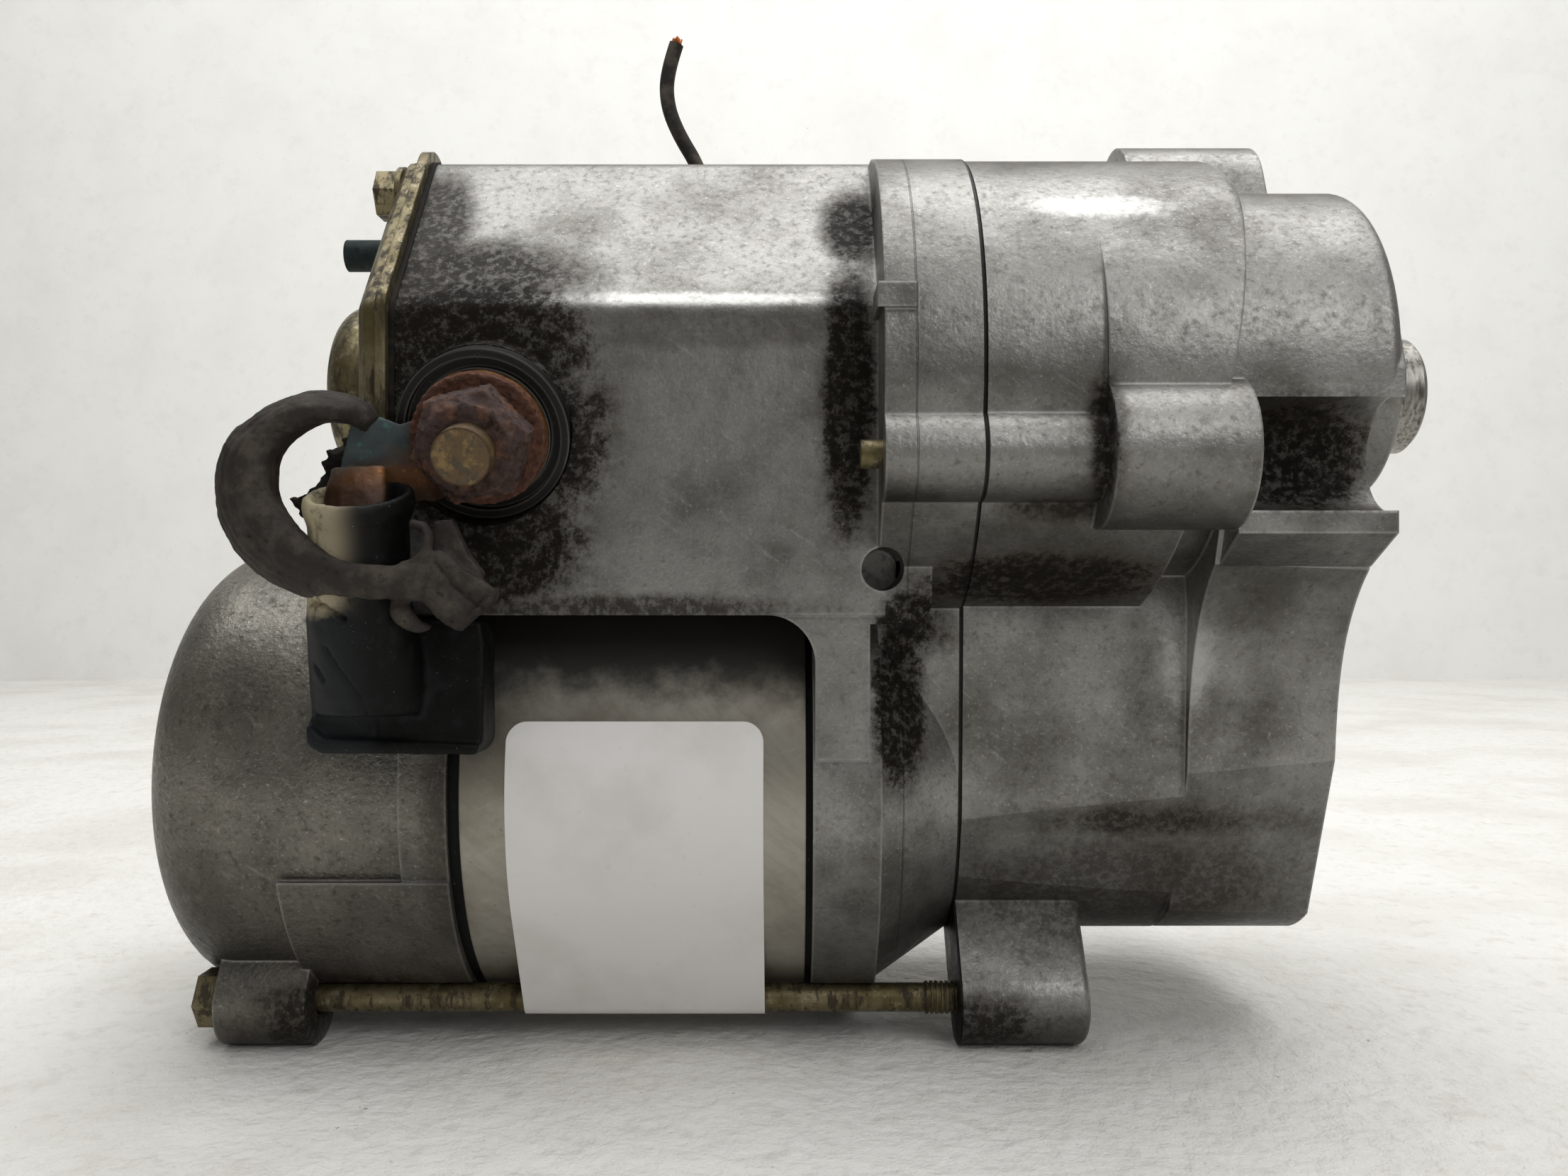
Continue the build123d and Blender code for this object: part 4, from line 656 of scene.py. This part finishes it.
def dot_line(point, line):
    """Distance in mm from an (x, z) point to a polyline."""
    best = 1e9
    for a, b in zip(line, line[1:]):
        a, b = Vector(a), Vector(b)
        t = max(0.0, min(1.0, (point - a).dot(b - a) / (b - a).length_squared))
        best = min(best, (point - a - (b - a) * t).length)
    return best


# --------------------------------------------------------------------- the cord
WIRE_DIAMETER = 2.7
WIRE_ROUTE = [
    (-128.8, 20.4, 26.4),
    (-120.0, 23.0, 25.6),
    (-110.6, 25.8, 26.0),
    (-102.4, 28.4, 30.2),
    (-98.0, 30.2, 38.6),
    (-99.4, 30.9, 47.2),
    (-103.8, 30.9, 54.4),
    (-105.8, 30.7, 59.9),
    (-105.7, 30.4, 65.5),
    (-103.9, 30.0, 70.6),
]
wire_curve = bpy.data.curves.new("trigger_lead", "CURVE")
wire_curve.dimensions = "3D"
wire_curve.bevel_depth = WIRE_DIAMETER / 2 * MM
wire_curve.bevel_resolution = 8
wire_curve.resolution_u = 16
wire_curve.use_fill_caps = True
spline = wire_curve.splines.new("NURBS")
spline.points.add(len(WIRE_ROUTE) - 1)
for point, place in zip(spline.points, WIRE_ROUTE):
    point.co = (*mm(*place), 1.0)
spline.order_u = 3
spline.use_endpoint_u = True
wire_curve.materials.append(FINISHES["wire_insulation"])
wire = bpy.data.objects.new("trigger_lead", wire_curve)
scene.collection.objects.link(wire)
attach(wire, "housing")
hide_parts("trigger_wire")


def copper_strands():
    """Seven cut strands standing out of the lead's broken end."""
    tip = Vector(WIRE_ROUTE[-1])
    out = (tip - Vector(WIRE_ROUTE[-2])).normalized()
    side = out.cross(Vector((0, 1, 0))).normalized()
    up = side.cross(out)
    parts = []
    for index in range(7):
        angle = index * math.tau / 6
        reach = 0.0 if index == 6 else 0.62
        foot = tip + (side * math.cos(angle) + up * math.sin(angle)) * reach
        lean = (side * math.cos(angle * 1.7) + up * math.sin(angle * 2.3)) * 0.22
        rings = []
        extra = 0.14 * (index % 3)
        profile = ((-1.2, 0.29), (0.25, 0.29), (0.7 + extra, 0.27), (0.95 + extra, 0.14))
        for height, radius in profile:
            centre = foot + out * height + lean * max(height, 0.0)
            rings.append([
                (centre + (side * math.cos(a) + up * math.sin(a)) * radius) * MM
                for a in np.linspace(0, math.tau, 10, endpoint=False)
            ])
        parts.append(skin_rings(rings))
    return shells(*parts)


strands = mesh_piece("trigger_lead_strands", *copper_strands(), FINISHES["winding_copper"])
strands.data.shade_smooth()
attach(strands, "housing")


# ------------------------------------------------------------------ lead boot
def boot_piece():
    """The rubber boot of the motor lead: a lipped neck on a soft rectangular foot."""
    mouth_slope = 0.34
    outline = np.linspace(0, math.tau, 72, endpoint=False)
    course = smooth_path(
        [
            (-141.4, -26.5, -48.5, 8.6), (-141.4, -30.2, -42.0, 7.7), (-141.4, -33.0, -35.0, 7.0),
            (-141.4, -33.6, -28.0, 6.6), (-141.4, -33.9, -18.2, 6.6),
        ],
        30,
    )
    last = len(course) - 1

    def ring(step, extra):
        x, y, z, radius = course[step]
        lean = mouth_slope * max(0.0, (step / last - 0.6) / 0.4)
        rows = []
        for angle in outline:
            off = (radius + extra) * math.sin(angle)
            rows.append(mm(x + (radius + extra) * math.cos(angle), y + off, z + lean * off))
        return rows

    lip = [(last - 2, 0.5), (last - 1, 0.75), (last, 0.5)]
    outer = [(step, 0.0) for step in range(last - 2)] + lip
    inner = [(last, -0.45), (last - 2, -1.4), (last - 7, -1.6), (last - 13, -1.7)]
    rings = [ring(step, extra) for step, extra in outer + inner]
    neck = skin_rings(rings)
    foot_outline = [
        (-148.4, -41.0), (-149.0, -46.5), (-149.3, -50.4), (-148.7, -52.4), (-147.0, -53.4),
        (-126.4, -53.6), (-125.5, -52.6), (-125.5, -38.6), (-126.2, -36.0), (-134.0, -35.6),
        (-146.6, -39.0),
    ]
    foot = slab(foot_outline, lambda x, z: -30.6 + 0.12 * max(0.0, z + 47.0), -22.5)
    ledge = slab(
        [
            (-149.6, -49.6), (-149.5, -52.6), (-147.6, -53.9), (-126.0, -54.0), (-125.6, -52.6),
            (-147.0, -51.8),
        ],
        -31.8, -23.0,
    )
    vertices, faces = shells(neck, foot, ledge)
    piece = mesh_piece("lead_boot_detail", vertices, faces, FINISHES["rubber"])
    fuse(piece, 0.38, 5)
    cracks = [
        ([(-146.2, -33.0), (-144.6, -33.3), (-143.0, -34.3), (-141.4, -35.2)], 0.34, 1.2),
        (
            [(-144.4, -39.0), (-142.6, -42.2), (-140.3, -46.0), (-140.0, -49.2), (-140.2, -51.6)],
            0.20, 0.5,
        ),
        ([(-146.6, -41.6), (-145.4, -43.4)], 0.3, 0.5),
        ([(-145.2, -22.5), (-145.5, -26.5), (-145.3, -28.8)], 0.18, 0.45),
    ]

    def shape(point, normal):
        shift = normal * 0.10 * noise.noise(point * 0.45)
        if normal.y < -0.2 and point.y < -24.0:
            flat = Vector((point.x, point.z))
            for line, width, depth in cracks:
                gap = dot_line(flat, line) + 0.12 * noise.noise(point * 1.9)
                shift -= normal * depth * math.exp(-((gap / width) ** 2))
        return shift

    move_points(piece, shape)
    return piece


boot = boot_piece()
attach(boot, "housing")
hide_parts("lead_boot")


# ---------------------------------------------------------------- torn cap
def band(course, section_of, samples=110):
    """A strap swept along (x, y, z, width, depth) points in mm that lies in the XZ plane."""
    rows = smooth_path(course, samples)
    ways = np.gradient(rows[:, :3], axis=0)
    rings = []
    for row, way in zip(rows, ways):
        centre = Vector(row[:3])
        along = Vector((way[0], 0.0, way[2])).normalized()
        across = Vector((along.z, 0.0, -along.x))
        ring = []
        for out, front in section_of:
            point = centre + across * out * row[3] / 2 + Vector((0, -1, 0)) * front * row[4] / 2
            ring.append(point * MM)
        rings.append(ring)
    return skin_rings(rings)


# Section of the torn ring: a lip nearest the camera, then steps going back to the outer edge
RING_SECTION = [
    (-1.0, 0.55), (-0.92, 0.8), (-0.7, 0.95), (-0.35, 1.0), (-0.1, 0.93), (-0.02, 0.8),
    (0.12, 0.8), (0.28, 0.66), (0.36, 0.54), (0.5, 0.52), (0.6, 0.30), (0.72, 0.24),
    (0.82, 0.0), (0.94, -0.1), (1.0, -0.35), (0.98, -0.75), (0.9, -1.0), (0.4, -0.9),
    (-0.2, -0.7), (-0.7, -0.5), (-0.95, -0.2),
]
ROUND_SECTION = [(math.cos(a), math.sin(a)) for a in np.linspace(0, math.tau, 16, endpoint=False)]


def cap_piece():
    """What is left of the terminal cap: its torn ring, the strap and the loop at its root."""
    ring = band(
        [
            (-140.6, -31.0, -8.6, 2.8, 4.5),
            (-142.8, -33.0, -6.9, 4.0, 6.5),
            (-146.8, -34.6, -6.6, 5.0, 8.5),
            (-151.6, -35.0, -8.8, 6.2, 9.0),
            (-155.7, -35.0, -13.2, 8.6, 9.4),
            (-156.3, -35.2, -18.8, 9.2, 9.2),
            (-153.6, -35.8, -24.2, 9.4, 8.4),
            (-148.2, -37.6, -28.0, 8.0, 6.4),
            (-142.2, -39.4, -30.2, 5.8, 4.4),
            (-136.4, -39.6, -30.3, 4.6, 3.4),
            (-130.8, -38.6, -30.6, 5.0, 3.0),
        ],
        RING_SECTION,
    )
    tail = slab(
        [
            (-132.8, -27.6), (-129.2, -26.0), (-126.4, -28.6), (-121.8, -31.4), (-122.2, -33.0),
            (-124.6, -34.8), (-127.0, -37.0), (-129.4, -35.2), (-131.6, -32.8), (-134.0, -32.6),
        ],
        lambda x, z: -39.4 + 0.16 * (x + 133),
        lambda x, z: -36.8 + 0.16 * (x + 133),
    )
    spur = slab(
        [
            (-130.6, -22.2), (-128.2, -22.0), (-126.0, -26.8), (-124.0, -29.4), (-127.2, -31.0),
            (-131.0, -28.4),
        ],
        -36.4, -33.6,
    )
    loop = band(
        [
            (-134.2, -39.0, -28.4, 1.6, 2.4),
            (-131.8, -39.0, -27.4, 1.5, 2.4),
            (-130.7, -38.6, -25.2, 1.3, 2.2),
            (-131.2, -38.2, -23.2, 1.2, 2.0),
            (-133.4, -37.6, -22.6, 1.4, 2.0),
        ],
        ROUND_SECTION, 40,
    )
    curl = band(
        [
            (-135.6, -36.4, -32.2, 3.0, 2.0),
            (-134.4, -37.4, -34.6, 3.0, 2.0),
            (-132.6, -37.0, -36.2, 2.0, 1.6),
            (-130.9, -36.4, -36.3, 0.9, 1.2),
        ],
        ROUND_SECTION, 40,
    )
    crease = slab([(-151.6, -29.4), (-149.8, -30.6), (-148.6, -30.4), (-149.2, -28.6)], -36.0, -34.0)
    vertices, faces = shells(ring, tail, spur, loop, curl, crease)
    piece = mesh_piece("terminal_cap_detail", vertices, faces, FINISHES["cap_rubber"])
    fuse(piece, 0.34, 2)
    splits = [
        ([(-129.8, -27.6), (-127.2, -31.0), (-124.4, -33.4), (-122.2, -34.4)], 0.2, 0.6),
        ([(-125.6, -34.6), (-123.4, -32.2)], 0.2, 0.5),
    ]

    def shape(point, normal):
        shift = normal * (0.22 * noise.noise(point * 0.3) + 0.09 * noise.noise(point * 1.3))
        if normal.y < -0.3:
            flat = Vector((point.x, point.z))
            for line, width, depth in splits:
                shift -= normal * depth * math.exp(-((dot_line(flat, line) / width) ** 2))
        return shift

    move_points(piece, shape)
    return piece


def cap_shreds():
    """Jagged leaves of the torn cap that stand between its ring and the boot."""
    leaf = slab(
        [
            (-153.2, -18.6), (-150.6, -17.9), (-149.9, -17.0), (-149.3, -17.2), (-148.9, -15.6),
            (-148.0, -15.2),
            (-148.5, -13.6), (-147.6, -13.0), (-147.9, -11.8), (-145.6, -11.2), (-146.0, -10.2),
            (-143.4, -9.6), (-141.4, -10.6), (-142.4, -17.0), (-146.0, -23.6), (-149.4, -23.4),
        ],
        lambda x, z: -28.6 + 0.6 * math.sin(x * 0.9 + z),
        lambda x, z: -27.4 + 0.6 * math.sin(x * 0.9 + z),
    )
    rubber = aged_rubber("shred_rubber", "#1d1a17", "#4a4339", 0.6, 0.08)
    piece = mesh_piece("terminal_cap_shreds", *leaf, rubber)
    fuse(piece, 0.3, 1)
    move_points(piece, lambda p, n: n * 0.35 * noise.noise(p * 0.9))
    return piece


cap = cap_piece()
shreds = cap_shreds()
for piece in (cap, shreds):
    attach(piece, "housing")
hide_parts("terminal_cap")


# ------------------------------------------------------------------- copper lug
LUG_LOW = 27.5
LUG_HIGH = 29.0
LUG_RING = 9.4
LUG_BORE = 4.1


def lug_piece():
    """The motor lead's flat lug under the nut, bent forward and down into the boot."""
    up = stud_out.cross(Vector((1.0, 0.0, 0.0)))
    rings = []
    corners = ((LUG_LOW, LUG_BORE), (LUG_LOW, LUG_RING), (LUG_HIGH, LUG_RING), (LUG_HIGH, LUG_BORE))
    for height, radius in corners:
        ring = []
        for angle in np.linspace(0, math.tau, 64, endpoint=False):
            out = Vector((math.cos(angle), 0.0, 0.0)) + up * math.sin(angle)
            ring.append((on_stud(height) + out * radius) * MM)
        rings.append(ring)
    washer = skin_rings(rings + rings[:1], closed_ends=False)

    def face(height):
        def depth(x, z):
            bend = min(max((-134.5 - x) / 9.0, 0.0), 1.0)
            return -(height + z * math.sin(STUD_TILT)) / math.cos(STUD_TILT) - 5.2 * bend**1.5
        return depth

    strap = slab(
        [
            (-130.4, -6.2), (-134.2, -7.2), (-137.6, -8.2), (-140.6, -7.2), (-142.8, -7.9),
            (-143.9, -10.8),
            (-145.0, -13.8), (-145.5, -17.4), (-144.9, -19.4), (-142.3, -20.3), (-139.8, -19.9),
            (-137.4, -18.8), (-134.2, -18.8), (-131.0, -17.6), (-135.4, -14.0), (-135.6, -10.0),
        ],
        face(LUG_HIGH), face(LUG_LOW),
    )
    core = band(
        [
            (-142.2, -31.6, -14.5, 7.6, 2.2), (-142.0, -33.6, -20.5, 8.6, 3.2),
            (-141.8, -33.4, -30.0, 6.4, 6.4), (-141.6, -30.6, -40.0, 6.4, 6.4),
        ],
        ROUND_SECTION, 30,
    )
    piece = mesh_piece("motor_lead_lug", *shells(washer, strap, core), FINISHES["copper"])
    fuse(piece, 0.28, 2)
    move_points(piece, lambda p, n: n * (0.16 * noise.noise(p * 0.6) + 0.06 * noise.noise(p * 2.1)))
    return piece


lug = lug_piece()
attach(lug, "housing")
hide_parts("motor_lead")


# ------------------------------------------------------------- rust on the nut
NUT_FOOT = 30.8  # where the flats start, from the pinion axis
NUT_CROWN = 5.0  # radius inside which the nut's face is left alone


def crusted(node, name, voxel, crust, material):
    """A copy of a CAD part with its rust as real relief, which stands for that part."""
    source = frame["nodes"][node]
    piece = bpy.data.objects.new(name, source.data.copy())
    scene.collection.objects.link(piece)
    piece.data.materials.clear()
    piece.data.materials.append(material)
    fuse(piece, voxel, 1)

    def shape(point, normal):
        shift = normal * crust * (noise.noise(point * 1.1) + 0.5 * noise.noise(point * 2.9) - 0.2)
        along = (point - Vector((STUD_X, 0.0, 0.0))).dot(stud_out)
        off = point - on_stud(along)
        if along > NUT_FOOT and off.length > NUT_CROWN:
            shift += off * 0.13
        return shift

    move_points(piece, shape)
    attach(piece, "housing")
    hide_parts(node)
    return piece


crusted("motor_terminal_nut", "terminal_nut_rusted", 0.24, 0.24, FINISHES["rusty_steel"])

# ---------------------------------------------------------- floor, wall and light
FLOOR_Z = cad_box[0].z
WALL_Y = 0.78


def painted_board(name, base, shade, relief, grain):
    s = Surface(name, base, 0.0, 0.75)
    s.paint(shade, s.times(s.spread(s.noise(60.0, 6.0, 0.6), 0.4, 0.7), 0.5))
    s.paint(shade, s.times(s.spread(s.noise(grain, 5.0, 0.7, shift=0.4), 0.5, 0.7), 0.5))
    s.paint("#8f8a80", s.times(s.spread(s.noise(1.6, 3.0, 0.6, shift=1.3), 0.72, 0.76), 0.7))
    s.raise_by(s.noise(grain, 6.0, 0.6), relief)
    return s.done()


floor = mesh_piece(
    "floor",
    [(-2, -1.2, FLOOR_Z), (2, -1.2, FLOOR_Z), (2, WALL_Y, FLOOR_Z), (-2, WALL_Y, FLOOR_Z)],
    [(0, 1, 2, 3)],
    painted_board("floor_paint", "#e9e8e4", "#cfccc4", 1.5, 4.0),
)
wall = mesh_piece(
    "wall",
    [(-2, WALL_Y, FLOOR_Z), (2, WALL_Y, FLOOR_Z), (2, WALL_Y, 1.6), (-2, WALL_Y, 1.6)],
    [(0, 1, 2, 3)],
    painted_board("wall_paint", "#f0f0ed", "#e6e5e1", 0.2, 12.0),
)


def softbox(name, place, target, size, power):
    lamp = bpy.data.lights.new(name, "AREA")
    lamp.shape = "RECTANGLE"
    lamp.size, lamp.size_y = size
    lamp.energy = power
    light = bpy.data.objects.new(name, lamp)
    light.location = place
    light.rotation_euler = (Vector(target) - Vector(place)).to_track_quat("-Z", "Y").to_euler()
    scene.collection.objects.link(light)


softbox("overhead", (-0.05, -0.10, 0.72), (-0.08, 0.0, 0.0), (1.0, 0.6), 4.9)
softbox("front_fill", (0.35, -0.75, 0.5), (-0.08, 0.0, -0.05), (0.5, 0.5), 2.4)
softbox("wall_light", (0.0, 0.25, 0.9), (0.0, 0.78, 0.1), (1.8, 0.4), 7.0)

world = bpy.data.worlds.new("studio")
world.use_nodes = True
world.node_tree.nodes["Background"].inputs["Color"].default_value = (1.0, 0.98, 0.95, 1.0)
world.node_tree.nodes["Background"].inputs["Strength"].default_value = 0.20
scene.world = world
scene.view_settings.view_transform = "Standard"
